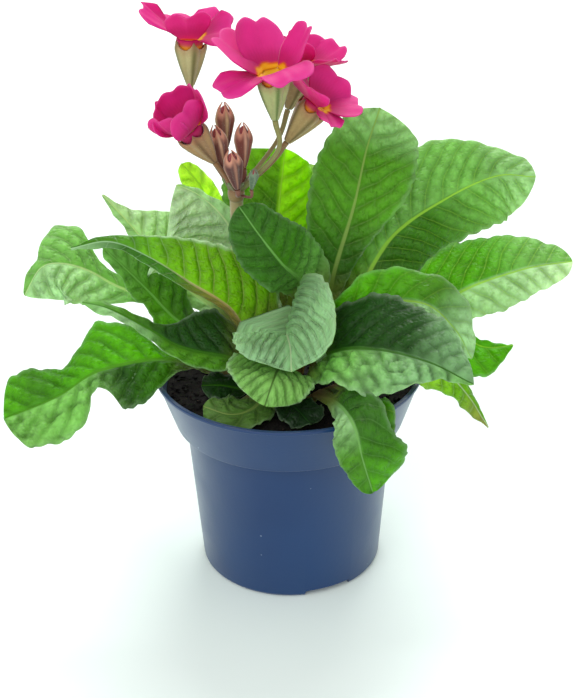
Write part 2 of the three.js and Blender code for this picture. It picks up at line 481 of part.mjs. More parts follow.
// Flower stalk: one thick stalk from the soil, with thin stalks fanning out from the knob on its top
function tube(points, { radius, sides, steps }) {
  const outline = new THREE.Shape();
  for (let k = 0; k < sides; k++) {
    const turn = 2 * Math.PI * k / sides;
    outline[k ? 'lineTo' : 'moveTo'](radius * Math.cos(turn), radius * Math.sin(turn));
  }
  const path = new THREE.CatmullRomCurve3(points.map((p) => new THREE.Vector3(...p)), false,
    'catmullrom', 0.5);
  return new THREE.ExtrudeGeometry(outline, { steps, extrudePath: path, bevelEnabled: false });
}

// A frame whose third axis points along the given direction and whose first axis stays to the right
function standing(base, axis) {
  const along = new THREE.Vector3(...axis).normalize();
  const right = new THREE.Vector3(1, 0, 0).addScaledVector(along, -along.x).normalize();
  const back = new THREE.Vector3().crossVectors(along, right);
  return new THREE.Matrix4().makeBasis(right, back, along).setPosition(...base);
}

function bractGeometry(turn) {
  const angle = THREE.MathUtils.degToRad(turn);
  const out = new THREE.Vector3(Math.cos(angle), Math.sin(angle), 0);
  const side = new THREE.Vector3(Math.sin(angle), -Math.cos(angle), 0);
  return sheetGeometry(BRACT.rows, 2, (row, col) => {
    const t = row / BRACT.rows;
    const half = BRACT.half * (1 - t) ** 0.6 + BRACT.tip;
    const top = new THREE.Vector3(...UMBEL).addScaledVector(out, BRACT.root + BRACT.reach * t)
      .addScaledVector(side, (col - 1) * half);
    top.z += BRACT.rise * t ** 0.7;
    const under = top.clone().addScaledVector(out, BRACT.lean);
    under.z -= BRACT.thick;
    return [top, under];
  });
}

function scapeGeometry() {
  let solid = toSolid(tube(SCAPE_PATH, SCAPE));
  const knob = new THREE.SphereGeometry(KNOB.radius, KNOB.sides, KNOB.rings);
  knob.translate(...UMBEL);
  solid = solid.add(toSolid(knob));
  for (const { base, axis } of [...FLOWERS, ...BUDS]) {
    const down = new THREE.Vector3(...axis).normalize().negate();
    const last = new THREE.Vector3(...base).addScaledVector(down, SEAT_GAP);
    const reach = last.distanceTo(new THREE.Vector3(...UMBEL));
    const bend = last.clone().addScaledVector(down, PEDICEL.bend * reach);
    solid = solid.add(toSolid(tube([UMBEL, bend.toArray(), last.toArray()], PEDICEL)));
  }
  for (let k = 0; k < BRACT.count; k++) {
    solid = solid.add(toSolid(bractGeometry(BRACT.first + 360 * k / BRACT.count)));
  }
  return toGeometry(solid);
}

// A turned shape with five ribs, which may end in five teeth above a height
function ribbed(profile, rib, tooth = 0, toothStart = 0) {
  const points = profile.map(([r, z]) => new THREE.Vector2(r, z));
  const geometry = new THREE.LatheGeometry(points, RIBBED_SIDES);
  geometry.rotateX(Math.PI / 2);
  const position = geometry.attributes.position;
  for (let k = 0; k < position.count; k++) {
    const [x, y, z] = [position.getX(k), position.getY(k), position.getZ(k)];
    const wave = Math.cos(5 * Math.atan2(y, x));
    const grow = 1 + rib * wave;
    position.setXYZ(k, x * grow, y * grow, z + tooth * Math.max(0, z - toothStart) * wave);
  }
  return geometry;
}

// Calyx: a ribbed funnel with a tooth on each rib
function calyxGeometry({ base, axis }) {
  const funnel = ribbed(CALYX_PROFILE, CALYX.rib, CALYX.tooth, CALYX.toothStart);
  return funnel.applyMatrix4(standing(base, axis));
}

// Corolla: a narrow tube that stands in the calyx and opens into five notched petals
function petalGeometry(petal) {
  const [azimuth, length, halfWidth] = petal;
  const [turn, low, high, roll] = [azimuth, ...petal.slice(3)].map(THREE.MathUtils.degToRad);
  const out = new THREE.Vector3(Math.cos(turn), Math.sin(turn), 0);
  const side = new THREE.Vector3(-Math.sin(turn), Math.cos(turn), 0);
  return sheetGeometry(PETAL.rows, PETAL.cols, (row, col) => {
    const q = 2 * col / PETAL.cols - 1;
    const s = row / PETAL.rows;
    const notch = PETAL.notch * Math.max(0, 1 - Math.abs(q) / 0.5);
    const reach = s * (1 - notch * s * s - PETAL.corner * q ** 4);
    const half = halfWidth * Math.sin(Math.PI / 2 * Math.min(1, PETAL.waist + s));
    const [across, rise] = bentHalf(length, low, high - low, reach);
    const tilt = low + (high - low) * reach;
    const normal = new THREE.Vector3(0, 0, Math.cos(tilt)).addScaledVector(out, -Math.sin(tilt));
    const shell = PETAL.cup * q * q * s + PETAL.overlap * q * Math.min(1, 2 * s)
      + PETAL.ruffle * s * Math.sin(4 * q + azimuth);
    const top = new THREE.Vector3(0, 0, THROAT_TOP + rise).addScaledVector(out, PETAL.root + across)
      .addScaledVector(side, q * half * Math.cos(roll * s))
      .addScaledVector(normal, shell + q * half * Math.sin(roll * s));
    return [top, top.clone().addScaledVector(normal, -PETAL.thick)].reverse();
  });
}

function corollaGeometry({ base, axis, petals }) {
  let solid = toSolid(ribbed(THROAT_PROFILE, 0));
  for (const petal of petals) solid = solid.add(toSolid(petalGeometry(petal)));
  return toGeometry(solid).applyMatrix4(standing(base, axis));
}

// Bud: a closed spindle with the ribs of its calyx
function budGeometry({ base, axis, half, length }) {
  const profile = BUD_PROFILE.map(([r, z]) => [r * half, z * length]);
  return ribbed(profile, BUD_RIB).applyMatrix4(standing(base, axis));
}

// The hole in the soil that the flower stalk stands in
function scapeHole() {
  const [foot, next] = SCAPE_PATH;
  const radius = SCAPE.radius + HOLE_CLEAR;
  const hole = new THREE.CylinderGeometry(radius, radius, 2 * (next[2] - foot[2]), SCAPE.sides);
  hole.rotateX(Math.PI / 2);
  hole.translate(foot[0], foot[1], next[2] - HOLE_CLEAR);
  return hole;
}

const plant = new THREE.Group();
const holes = [...LEAVES.map(stalkHole), scapeHole()];
addPart(plant, 'pot', potGeometry(), { color: 0x2f4f80, roughness: 0.45 });
addPart(plant, 'soil', soilGeometry(holes), { color: 0x1c1612, roughness: 1 });
for (const leaf of LEAVES) {
  addPart(plant, leaf.name, leafGeometry(leaf), { color: 0x4f9a3c, roughness: 0.6 });
}
addPart(plant, 'flower_stalk', scapeGeometry(), { color: 0x8f8a55, roughness: 0.6 });
for (const flower of FLOWERS) {
  addPart(plant, `calyx_${flower.name}`, calyxGeometry(flower), { color: 0x8c8a58, roughness: 0.6 });
  addPart(plant, `corolla_${flower.name}`, corollaGeometry(flower), { color: 0xd02a7c, roughness: 0.5 });
}
for (const bud of BUDS) addPart(plant, bud.name, budGeometry(bud), { color: 0x8a5a50, roughness: 0.6 });

export default plant;
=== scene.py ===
# Potted oxlip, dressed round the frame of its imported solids. Sizes are in millimetres and are turned into
# metres where a mesh is made. Directions: +Z is up, the front is -Y.
import math

import bpy
import numpy as np
from mathutils import Matrix, Vector, noise


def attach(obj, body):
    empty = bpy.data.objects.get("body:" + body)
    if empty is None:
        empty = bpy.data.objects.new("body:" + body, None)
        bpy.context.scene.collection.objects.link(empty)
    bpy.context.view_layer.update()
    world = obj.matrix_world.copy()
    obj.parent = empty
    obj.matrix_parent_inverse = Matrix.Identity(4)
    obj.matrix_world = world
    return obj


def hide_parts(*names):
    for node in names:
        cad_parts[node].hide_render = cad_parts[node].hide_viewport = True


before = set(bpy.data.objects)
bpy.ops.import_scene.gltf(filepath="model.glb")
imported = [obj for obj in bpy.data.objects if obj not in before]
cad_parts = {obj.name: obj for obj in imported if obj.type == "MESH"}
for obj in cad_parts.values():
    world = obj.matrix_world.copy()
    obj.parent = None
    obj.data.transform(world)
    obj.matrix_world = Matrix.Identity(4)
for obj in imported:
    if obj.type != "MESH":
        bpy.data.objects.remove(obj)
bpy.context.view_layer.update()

MM = 0.001
BODY = "root"
UP = np.array([0, 0, 1.0])

# Pot
RIM_RADIUS = 52.5
POT_HEIGHT = 85.1
LIP_HEIGHT = 1.5
LIP_WIDTH = 0.8
COLLAR_HEIGHT = 21.2
COLLAR_FOOT_RADIUS = 45.1
BODY_TOP_RADIUS = 41.1
FOOT_RADIUS = 36.2
WALL = 0.95
FLOOR_LIFT = 3.2
FOOT_RING = 2.4
FOOT_BEVEL = 1.2
STUD_RADIUS = 8
POT_SIDES = 240
SHARP_ANGLE = 40
NOTCH = {"count": 3, "first": 294, "width": 19.5, "height": 2.7, "depth": 8, "round": 1}
DRAIN = {"count": 4, "first": 45, "radius": 4.5, "ring": 20, "sides": 40, "past": 2}

# Soil
CLEAR = 0.35
SOIL_TOP = 77
SOIL_CELL = 0.75
SOIL_SIDES = 300
SOIL_EDGE_DROP = 0.4
SOIL_SEED = 5
SCATTER = 47
CRUMBS = 900
FIBRES = 160
FIBRE_HALF = 0.16
FIBRE_STEPS = 5

# Leaves: the values that shape them are those of the solids
ROOT_DEPTH = 9
ROOT_RISE = 4
BLADE_THICK = 0.5
RIB = {"thick": 1.5, "spread": 1.6, "fade": 0.7}
STALK = {"half": 2.6, "taper": 12, "tip": 0.3}
FLAT_ROOT = (12, 26)
UNTURNED_ROOT = 20
TIP_ROUND = 0.985
ROW_PACKING = 1.4
RIGHT_LAG = 1.7
GRID_STEP = 1.1
SCALLOP = {"count": 15, "depth": 0.045, "uneven": 0.03, "frill": 0.55}
RELIEF = {"quilt": 1.7, "bubbles": 1.3, "level": 0.6, "groove": 0.6, "sag": 0.45}
LEAF_DEFAULTS = {
    "start": 0.4, "belly": 0.9, "point": 0.5, "fold": (10, 5), "curl": (-10, -30), "wave": 1, "waves": 3,
    "phase": 0, "left": (1, 1), "right": (1, 1), "tones": ("mid", "green"), "rib": "lime_rib",
    "quilt": (0.6, 0.6), "bubbles": (0.25, 0.25), "lean": 0.62, "veins": 0.2, "edge": 0.25,
}


# root: where the stalk enters the soil. midrib: the points it then passes. face: the way the upper side
# looks, from base to tip. width: greatest half width on the left and right of the midrib. start: where the
# blade starts. belly and point: fullness at the base and bluntness at the tip. fold and curl: degrees that
# each half lifts at the midrib and turns on the way to its margin. left and right: how much each half is
# widened or narrowed, from the blade's base to its tip. tones: the colours along the left and right half,
# with painted sheen, painted light through the blade and painted shade in them. quilt and bubbles: relief
# between the veins and of its own. lean: how far the side veins point forwards. veins and edge: how
# strongly the side veins are paler, and how strongly the margin is lightened by a painted sheen.
def leaf(root, midrib, face, width, **rest):
    made = {**LEAF_DEFAULTS, "root": root, "midrib": midrib, "face": face, "width": width, **rest}
    made.setdefault("fold_left", made["fold"])
    made.setdefault("curl_left", made["curl"])
    return made


LEAVES = {
    "leaf_01": leaf((4, 7), [(14, 12, 94), (18, 17, 115), (26, 22, 142), (31, 26, 164), (36, 26, 180.5)],
        [(-0.2, -1, 0), (-0.1, -1, 0.3), (0, -1, 0.5)], (17, 23), start=0.34, belly=0.62, point=0.42,
        fold=(20, 12), curl=(-10, -20), left=(1, 1, 1, 1.04, 1.1, 1.12, 1.12, 1.08, 1, 0.95, 0.95),
        right=(0.6, 0.5, 0.45, 0.48, 0.57, 0.72, 0.87, 0.94, 0.98, 1.05, 1.3),
        tones=("forest forest green green pale", "dark forest green green pale"), rib="olive_rib",
        quilt=(0.35, 0.35), edge=0.2),
    "leaf_02": leaf((11, 8), [(25, 15, 103), (41, 26, 127), (64, 40, 138), (84, 42, 146.5), (99, 39, 147)],
        [(-0.5, -0.6, 0.4), (-0.3, -0.75, 0.6), (0.1, -0.6, 0.8)], (27, 20), start=0.3, belly=0.5,
        point=0.55, fold=(0, -20), curl=(-20, -50), fold_left=(20, 8), curl_left=(-20, -20), left=(1, 0.95,
        0.95, 0.95, 1.05, 1.15, 1.02, 0.97, 0.78, 0.62, 0.9), right=(1, 1, 1, 1, 0.95, 0.9, 0.98, 1.1, 1.25,
        1.5, 1.7), tones=("bright soft soft soft pale", "dark forest mid soft pale"), quilt=(0.8, 0.9),
        veins=0.25, edge=0.3),
    "leaf_03": leaf((20, 3), [(36, 5, 94), (55, 6, 105), (70, 7, 114), (90, 8, 121), (110, 9, 124)],
        [(-0.5, -0.3, 0.8), (-0.1, -0.55, 0.85), (0.1, -0.6, 0.8)], (18, 15), start=0.28, belly=0.6,
        point=0.42, left=(1, 1, 1.05, 1.1, 1.2, 1.25, 1.14, 1.03, 0.93, 0.86, 0.9), right=(1, 1, 1, 0.95,
        0.88, 0.84, 0.97, 0.93, 0.78, 0.76, 0.9),
        tones=("lime lime vivid bright soft soft", "mid pale pale white"), quilt=(0.4, 0.6), veins=0.35,
        edge=0.2),
    "leaf_04": leaf((12, 0), [(21, -4, 104), (37, -3, 113), (52, -6, 114), (63, -10, 106), (70, -14, 94)],
        [(-0.3, -0.3, 0.9), (0, -0.2, 1), (0.7, -0.2, 0.7)], (13, 8), start=0.2, belly=0.8, point=0.6,
        curl=(-40, -60), fold_left=(40, 55, 20), curl_left=(10, -10),
        tones=("vivid vivid vivid vivid green pale pale", "soft pale"), quilt=(0.25, 0.4)),
    "leaf_05": leaf((7, -7), [(11, -16, 95.5), (22, -25, 105), (38, -33, 107.5), (53, -37, 104.5),
        (68, -36, 95)], [(-0.4, -0.3, 0.8), (0, -0.35, 0.9), (0.3, -0.4, 0.85)], (27, 16), start=0.27,
        belly=0.42, point=0.6, fold=(15, 5), curl=(-10, -38), fold_left=(40, 32, 20), left=(0.8, 0.8, 0.8,
        0.83, 0.87, 0.88, 0.89, 0.9, 0.97, 1.1, 1.1), right=(1, 1.05, 1.15, 1.15, 1.3, 1.38, 1.25, 0.85,
        0.4, 0.35, 0.5), tones=("deep deep dark dark grey grey", "mid soft grey soft"), rib="forest",
        quilt=(0.4, 0.5), bubbles=(0.3, 1.2), veins=0.08),
    "leaf_06": leaf((19, 10), [(37, 10, 92), (53, 14, 95), (66, 16, 92), (78, 16, 84), (90, 14, 85)],
        [(-0.3, -0.3, 0.9), (0, -0.5, 0.9)], (8, 10), start=0.45, belly=0.6, point=0.8,
        left=(1, 1, 1, 0.8, 0.35, 0.2, 0.4), right=(1, 1, 1.1, 1.5, 2.1, 2, 1.1), tones=("vivid", "vivid"),
        quilt=(0.3, 0.3)),
    "leaf_07": leaf((19, -4), [(32, -8, 93), (45, -13, 96), (58, -17, 92), (69, -18, 80), (77, -18, 66)],
        [(-0.3, -0.3, 0.9), (0.3, -0.4, 0.9)], (11, 7), start=0.3, belly=0.6, point=0.8, curl=(-60, -90),
        right=(1, 1, 1.5, 1.6, 1.3, 1.1, 1, 0.8), tones=("lime", "lime glow lime straw"), rib="white_rib",
        quilt=(0.3, 0.3)),
    "leaf_08": leaf((4, 1), [(7, 8, 97), (6.6, 8, 115), (-2, -5, 131), (-10, -10.5, 145), (-17, -10, 156)],
        [(0.3, 0.6, 0.2), (0.1, -0.9, 0.3), (0, -0.8, 0.6)], (17, 18), start=0.42, belly=0.35, point=0.42,
        left=(0.6, 0.6, 0.6, 0.62, 0.66, 0.7, 0.76, 0.8, 0.82, 0.8, 0.85), right=(0.9, 0.9, 0.9, 0.9, 0.92,
        0.9, 0.86, 0.77, 0.72, 0.75, 0.85), tones=("soft forest forest", "soft mid forest"), rib="soft",
        quilt=(0.7, 0.7), veins=0.12, edge=0.15),
    "leaf_09": leaf((-4, -2), [(-1, -8, 94), (-1, -12, 104), (0, -17, 106), (1, -26, 105), (1, -33, 100)],
        [(0, 1, 0.2), (0, -0.3, 1), (0, -0.8, 0.6)], (26, 25), start=0.5, belly=0.2, point=0.4,
        fold=(25, 20), curl=(0, -20), fold_left=(75, 70, 40), right=(0.7, 0.75, 0.8, 0.82, 0.84, 0.87, 0.93,
        1, 1.06, 1.1, 1.2), tones=("mist", "mist"), rib="white_rib", quilt=(0.9, 0.9), bubbles=(0.3, 0.3),
        lean=1.9, veins=0.35, edge=0.3),
    "leaf_10": leaf((0, -9), [(-2, -17, 92), (-4, -26, 97), (-6, -36, 97), (-9, -41, 90)], [(0, 0.3, 1),
        (0, -0.5, 0.9), (0, -0.8, 0.5)], (17, 19), start=0.36, belly=0.5, point=0.4, left=(0.9, 0.9),
        right=(1, 1.05, 1.05, 1, 0.95, 0.95), tones=("fresh", "fresh"), rib="olive", quilt=(0.7, 0.7),
        lean=1.5, veins=0.45, edge=0.5),
    "leaf_11": leaf((-8, -15), [(-10, -22, 83), (-14, -30, 83), (-22, -35, 83.5), (-32, -33, 86)],
        [(0, -0.2, 1), (-0.1, -0.3, 0.9)], (9, 11.5), belly=0.45, tones=("moss", "moss"), rib="olive_rib"),
    "leaf_12": leaf((-1, -19), [(0, -27, 84), (4, -35, 84.5), (8, -42, 83)], [(0, -0.2, 1), (0, -0.4, 0.9)],
        (10, 8), start=0.45, belly=0.4, left=(0.45, 0.8, 1.3), right=(0.8, 1, 1.2),
        tones=("shade", "shade"), rib="dark"),
    "leaf_13": leaf((9, -16), [(15, -32, 87.6), (20, -47.5, 91.2), (23.5, -58, 89.5), (26, -61, 79),
        (30, -58.5, 63)], [(0, -0.2, 1), (0.1, -1, 0.3), (0.1, -1, 0)], (16, 9), start=0.36, belly=0.7,
        point=0.42, left=(1, 0.95, 0.8, 0.8, 0.95, 0.82, 0.9, 1.1, 1.1, 0.96, 1), right=(1.15, 1.1, 1.04,
        0.93, 0.93, 1.08, 1.06, 0.97, 0.88, 0.88, 0.95),
        tones=("forest forest mid vivid", "soft pale green mid"), rib="soft", quilt=(0.4, 0.5),
        bubbles=(0.4, 0.5)),
    "leaf_14": leaf((15, -11), [(22, -28, 88), (27, -42, 91), (32, -52, 91), (35, -56, 83)], [(0, -0.2, 1),
        (0.3, -1, 0.3)], (7.5, 7), start=0.25, tones=("mid", "dark")),
    "leaf_15": leaf((-18, -5), [(-34, -9, 90), (-49, -14, 96), (-71, -20, 95), (-86, -26, 88),
        (-107, -31, 81)], [(0, -0.2, 1), (0, -0.5, 0.9), (-0.2, -0.5, 0.85)], (18, 17), start=0.28,
        belly=0.6, point=0.35, wave=3, waves=2, phase=1.6, left=(0.5, 0.52, 0.55, 0.65, 0.8, 0.95, 1.14,
        1.22, 1.28, 1.2, 0.66, 0.42, 0.48, 0.7, 0.87, 0.97, 1.02, 1.08, 1.2, 1.4, 1.7), right=(0.6, 0.55,
        0.5, 0.48, 0.52, 0.8, 1.1, 1.2, 1.3, 1.4, 1.1, 0.85, 0.73, 0.76, 0.87, 0.95, 1.07, 1.16, 1.3, 1.4,
        1.6), tones=("forest mid dark soft soft soft", "mid vivid vivid bright mid vivid"), rib="green",
        quilt=(1.1, 0.8), bubbles=(1, 0.3), edge=0.2),
    "leaf_16": leaf((-19, 8), [(-29, 16, 91), (-50, 18, 104), (-67, 18, 112), (-77, 17, 119),
        (-87, 14, 124), (-95, 10, 124), (-102, 6.5, 114)], [(0.3, -0.2, 0.9), (0, -0.5, 0.9),
        (-0.1, -0.6, 0.8)], (18, 27), start=0.38, belly=1.3, point=0.4, left=(0.5, 0.5, 0.5, 0.6, 0.9, 1.02,
        0.95, 1.05, 1.12, 1.1, 0.8), right=(0.4, 0.4, 0.35, 0.32, 0.3, 0.3, 0.76, 0.76, 0.2, 0.16, 0.16),
        tones=("soft soft pale pale pale", "green soft soft soft"), rib="white_rib", quilt=(1.1, 0.9),
        edge=0.3),
    "leaf_17": leaf((-14, 2), [(-15, 2, 92), (-22, -1, 110), (-37, -4, 123), (-52, -4, 134), (-66, -3, 140),
        (-81, -2, 137)], [(0.3, -0.6, 0.5), (0.1, -0.9, 0.4), (0, -0.6, 0.9)], (7, 21), start=0.22,
        belly=0.4, point=1.3, fold_left=(-90, -60, -20), right=(1, 1, 1, 1, 1, 1, 0.9, 0.7, 0.55, 0.5, 0.5),
        tones=("straw straw mid forest pale", "lime lime lime green mid"), rib="tan_rib tan_rib pale pale",
        quilt=(0.2, 0.4), veins=0.22, edge=0.8),
    "leaf_18": leaf((-17, 14), [(-21, 24, 91), (-39, 28, 105), (-52, 30, 120), (-63, 32, 134),
        (-72, 32, 145)], [(0.3, -0.4, 0.8), (0, -0.6, 0.8)], (6, 27), start=0.3, belly=0.5, point=0.9,
        right=(1, 1, 1, 1, 0.95, 0.92, 0.95, 0.8, 0.45, 0.25, 0.25), tones=("pale", "pale pale white"),
        rib="white_rib", veins=0.25),
    "leaf_19": leaf((-7, 13), [(-9, 15, 98), (-16, 19, 122), (-24, 22, 138), (-33, 24, 147),
        (-42, 24, 152)], [(0.2, -0.7, 0.5), (0.1, -0.8, 0.6)], (25, 9), belly=0.7, point=0.35, left=(1, 1,
        1, 1.1, 1.25, 1.42, 1.5, 1.55, 1.55, 1.4, 1.2), right=(1, 1, 1, 1, 1, 0.85, 0.6, 0.4, 0.25, 0.2,
        0.2), tones=("pale white", "pale"), rib="white_rib", quilt=(0.7, 0.7), veins=0.25),
    "leaf_20": leaf((-8, 20), [(-12, 31, 96), (-25, 40, 122), (-33.5, 44, 142), (-41, 44, 153)],
        [(0.2, -0.7, 0.5), (0.1, -0.8, 0.6)], (7, 6), tones=("glow", "glow")),
    "leaf_21": leaf((-4, 7), [(-2, 10, 91), (-3, 22, 112), (-3, 30, 136), (-1, 34, 154), (0, 34, 162)],
        [(0.2, -1, 0.1), (0, -1, 0.4)], (17, 14), left=(1, 1, 1, 1.05, 1.1, 1.2, 1.3, 1.4, 1.5, 1.5, 1.4),
        tones=("forest forest lime", "sunny"), edge=0.2),
    "leaf_22": leaf((-9, -6), [(-14, -10, 91), (-25, -14, 97), (-40, -16, 102), (-51, -17, 110),
        (-66, -15, 118), (-77, -11, 119)], [(0.3, -0.3, 0.9), (0, -0.5, 0.9), (0, -0.5, 0.9)], (10, 18),
        start=0.26, belly=0.6, point=1.1, left=(0.9, 0.88, 0.79, 0.71, 0.66, 0.5, 0.38, 0.5, 0.7, 1.35,
        1.4), right=(1.2, 1.5, 1.4, 1.1, 0.83, 0.42, 0.21, 0.2, 0.25, 0.4, 0.5),
        tones=("mid green green pale soft", "dark dark dark green soft"), rib="mid", veins=0.08),
    "leaf_23": leaf((-20, 1), [(-20, 8, 88), (-35, 10, 95), (-45, 10, 102), (-55, 10, 115), (-70, 8, 133)],
        [(0.3, -0.3, 0.9), (0, -0.6, 0.8)], (14, 15), belly=0.6, point=0.6, left=(1, 1, 1, 0.8, 0.5, 0.42,
        0.5, 0.45, 0.38, 0.4, 0.5), right=(1, 1, 1, 1, 1.1, 1.2, 1.3, 1.3, 1.2, 1.1, 1),
        tones=("vivid green soft", "forest green soft"), rib="soft", quilt=(0.6, 1)),
    "leaf_24": leaf((-15, -12), [(-19, -15.5, 84), (-26, -18, 86.8), (-33, -20, 87.8)], [(0.3, -0.3, 0.9),
        (0, -0.5, 0.9)], (7, 7), start=0.42, tones=("deep", "deep"), rib="mid"),
    "leaf_25": leaf((9, 16), [(18, 32, 93), (32, 52, 103), (44, 70, 104), (54, 86, 96)], [(-0.4, -0.6, 0.7),
        (0, 0, 1), (0.3, 0.4, 0.8)], (16, 16), start=0.35),
    "leaf_26": leaf((0, 21), [(-3, 38, 92), (-6, 58, 101), (-8, 76, 99), (-9, 92, 89)], [(0, -0.7, 0.7),
        (0, 0.1, 1), (0, 0.5, 0.8)], (17, 16), start=0.32, quilt=(0.8, 0.8)),
    "leaf_27": leaf((-12, 26), [(-24, 37, 92), (-39, 50, 102), (-52, 63, 102), (-63, 75, 93)],
        [(0.5, -0.5, 0.7), (0, 0.1, 1), (-0.3, 0.4, 0.8)], (15, 16), start=0.35, tones=("mid", "bright")),
    "leaf_28": leaf((17, 17), [(30, 24, 90), (46, 33, 97), (62, 40, 97), (77, 45, 89)], [(-0.5, -0.4, 0.7),
        (0, 0, 1), (0.3, 0.1, 0.9)], (13, 13), start=0.35),
    "leaf_29": leaf((1, 14), [(2.5, 26, 101), (7, 39, 125), (9, 44, 140), (8, 46, 151.5)], [(0, -1, 0.2),
        (0, -1, 0.4)], (12, 12), start=0.42, tones=("white", "white")),
}

# Flower head, with the values of the solids. base: the foot of the calyx. axis: the way the flower points.
# petals: for each one where it points, seen down the axis, its length and half width, the degrees that it
# rises at its root and at its tip, and the degrees that it is twisted at its tip. calyx: the colours of
# its ribs and the web between them. stalk: the colours at its foot and top. throat: the colours outside
# and inside.
UMBEL = (-18.4, 0, 157)
SCAPE_PATH = [(-11.5, 9, SOIL_TOP - ROOT_DEPTH), (-11.5, 9, SOIL_TOP + ROOT_RISE), (-16, 11, 98),
              (-18.7, 10.5, 118), (-18.7, 8, 138), UMBEL]
SCAPE_RADII = [2.4, 2.3, 2.2, 2.25, 2.5]
SCAPE_TONES = ((150, 120, 86), (176, 158, 116))
KNOB = [(0, -3.4), (2.4, -2.4), (3.1, -0.4), (2.9, 1.6), (1.6, 2.9), (0, 3.2)]
KNOB_TONES = ((150, 136, 84), (128, 84, 62))
PEDICEL_RADII = np.array([1.15, 0.85, 0.8, 1.1])
PEDICEL_BEND = 0.35
SEAT_GAP = 0.03
BRACT = {"count": 5, "first": 20, "root": 1, "reach": 3.5, "rise": 6, "half": 1.3, "tip": 0.25,
         "thick": 0.45, "lean": 0.4, "hollow": 0.35, "rows": 14, "cols": 9}
BRACT_TONES = ((124, 92, 62), (112, 128, 84))
CALYX = {"profile": [(0, 0), (1.3, 0.2), (2.5, 3.5), (4, 8), (5.1, 12), (5.6, 14.6), (5.2, 17.3)],
         "floor": 3.6, "wall": 0.35, "rib": 0.1, "teeth": (14.4, 3.1), "sides": 90, "rows": 36}
CALYX_TIP = (150, 92, 66)
BUD = {"profile": [(0, 0), (0.3, 0.03), (0.6, 0.25), (0.88, 0.5), (1, 0.66), (0.72, 0.84), (0.2, 1)],
       "floor": 0.5, "wall": 0.14, "rib": 0.13, "teeth": (0.78, 0.22), "sides": 70, "rows": 30}
BUD_HEART = [(0, 0.5), (0.6, 0.55), (0.72, 0.68), (0.5, 0.82), (0.2, 0.9), (0, 0.93)]
BUD_TIP = (206, 146, 120)
BUD_STALK = ((116, 66, 54), (124, 78, 62))
FOLDED_PETALS = (150, 66, 66)
HAIRS = {"calyx": 320, "bud": 160, "stalk": 1400}
HAIR = {"thick": 0.035, "short": 0.3, "long": 0.75, "lean": 0.35, "tone": (196, 190, 158)}
THROAT_OUTER = [(0, 4.3), (1, 4.3), (2.4, 10.5), (3.9, 13), (4.6, 15), (4.9, 17.4)]
THROAT_INNER = [(4.6, 18.1), (2.4, 16.9), (1.3, 15.6), (0, 15.2)]
THROAT_TOP = 18.1
THROAT_SIDES = 60
THROAT_HEART = (196, 186, 40)
OPEN_THROAT = ((226, 150, 40), (246, 200, 30))
PETAL = {"root": 3.4, "thick": 0.35, "notch": 0.09, "corner": 0.3, "waist": 0.22, "cup": 0.8,
         "overlap": 1.1, "ruffle": 0.4, "eye": 2.6, "rows": 30, "cols": 27}
FLOWERS = {
    "upper_left": {"base": (-34, 8.5, 195.8), "axis": (0.03, 0, 1), "petals": [
        (190, 18.5, 5.8, 43, 36, -42), (268, 14.5, 8, 66, 40, 0), (350, 13, 8, 26, 14, 26),
        (44, 14.5, 8.5, 30, 24, 0), (122, 13, 8, 25, 20, 0)],
        "calyx": ((118, 116, 64), (178, 172, 120)), "stalk": ((120, 84, 60), (150, 134, 84))},
    "half_open": {"base": (-25.7, -6, 172), "axis": (-0.5, -0.3, 0.85), "petals": [
        (20, 14.5, 8, 27, 96, 0), (92, 13.5, 8, 45, 105, 0), (164, 12.3, 8, 43, 98, 0),
        (236, 13, 8, 45, 105, 0), (308, 13.5, 8, 36, 105, 0)], "throat": ((170, 40, 84), (150, 16, 60)),
        "calyx": ((112, 78, 46), (166, 130, 86)), "stalk": ((136, 84, 64), (142, 104, 66))},
    "middle": {"base": (-3.4, -8, 188), "axis": (-0.04, -0.1, 1), "petals": [
        (161, 21, 11, 40, 36, 0), (109, 20, 10.5, 45, 50, 22), (24, 18.8, 8.5, 48, 60, -14),
        (296, 17, 9.5, 55, -35, 0), (208, 18.5, 7.5, 6, -20, -22)],
        "calyx": ((98, 118, 54), (170, 178, 118)), "stalk": ((120, 126, 70), (136, 132, 76))},
    "back": {"base": (1.2, 17, 183.5), "axis": (0.35, 0.2, 0.9), "petals": [
        (30, 14, 8.5, 45, 62, 0), (96, 14, 8.5, 45, 62, 0), (164, 13, 8, 30, 40, 0),
        (236, 13, 8, 30, 40, 0), (316, 14, 8, 20, 34, 0)],
        "calyx": ((108, 100, 50), (162, 146, 96)), "stalk": ((126, 116, 70), (130, 120, 70))},
    "right": {"base": (0.5, -2, 177.5), "axis": (0.6, 0.05, 0.8), "petals": [
        (78, 14, 8.5, 50, 62, 0), (15, 14, 8, 40, 34, 0), (312, 10, 5.5, -4, -10, 0),
        (236, 13, 8, 25, 30, 0), (152, 14, 8.5, 25, 25, 0)],
        "calyx": ((110, 94, 48), (162, 140, 88)), "stalk": ((140, 84, 66), (132, 106, 66))},
}
# half and length: the bud's greatest radius and its length. tones: its ribs and the web between them.
BUDS = {
    "bud_1": {"base": (-21.8, 5, 173), "axis": (-0.02, 0.05, 1), "half": 3.4, "length": 17.5,
              "tones": ((192, 164, 122), (124, 72, 58))},
    "bud_2": {"base": (-21.9, -2, 167), "axis": (-0.2, -0.1, 1), "half": 3.2, "length": 18.5,
              "tones": ((190, 148, 118), (118, 66, 56))},
    "bud_3": {"base": (-15.4, 2.5, 166), "axis": (0, 0.05, 1), "half": 3.3, "length": 17.5,
              "tones": ((196, 150, 126), (130, 70, 60))},
    "bud_4": {"base": (-17.7, -5.6, 161), "axis": (-0.13, -0.17, 1), "half": 3.4, "length": 16.5,
              "tones": ((160, 112, 92), (88, 46, 44))},
    "bud_5": {"base": (-12.5, -6, 161), "axis": (0.15, -0.2, 1), "half": 1.7, "length": 9,
              "tones": ((118, 140, 112), (84, 108, 84)), "tip": (118, 140, 112), "thin": 0.62},
}


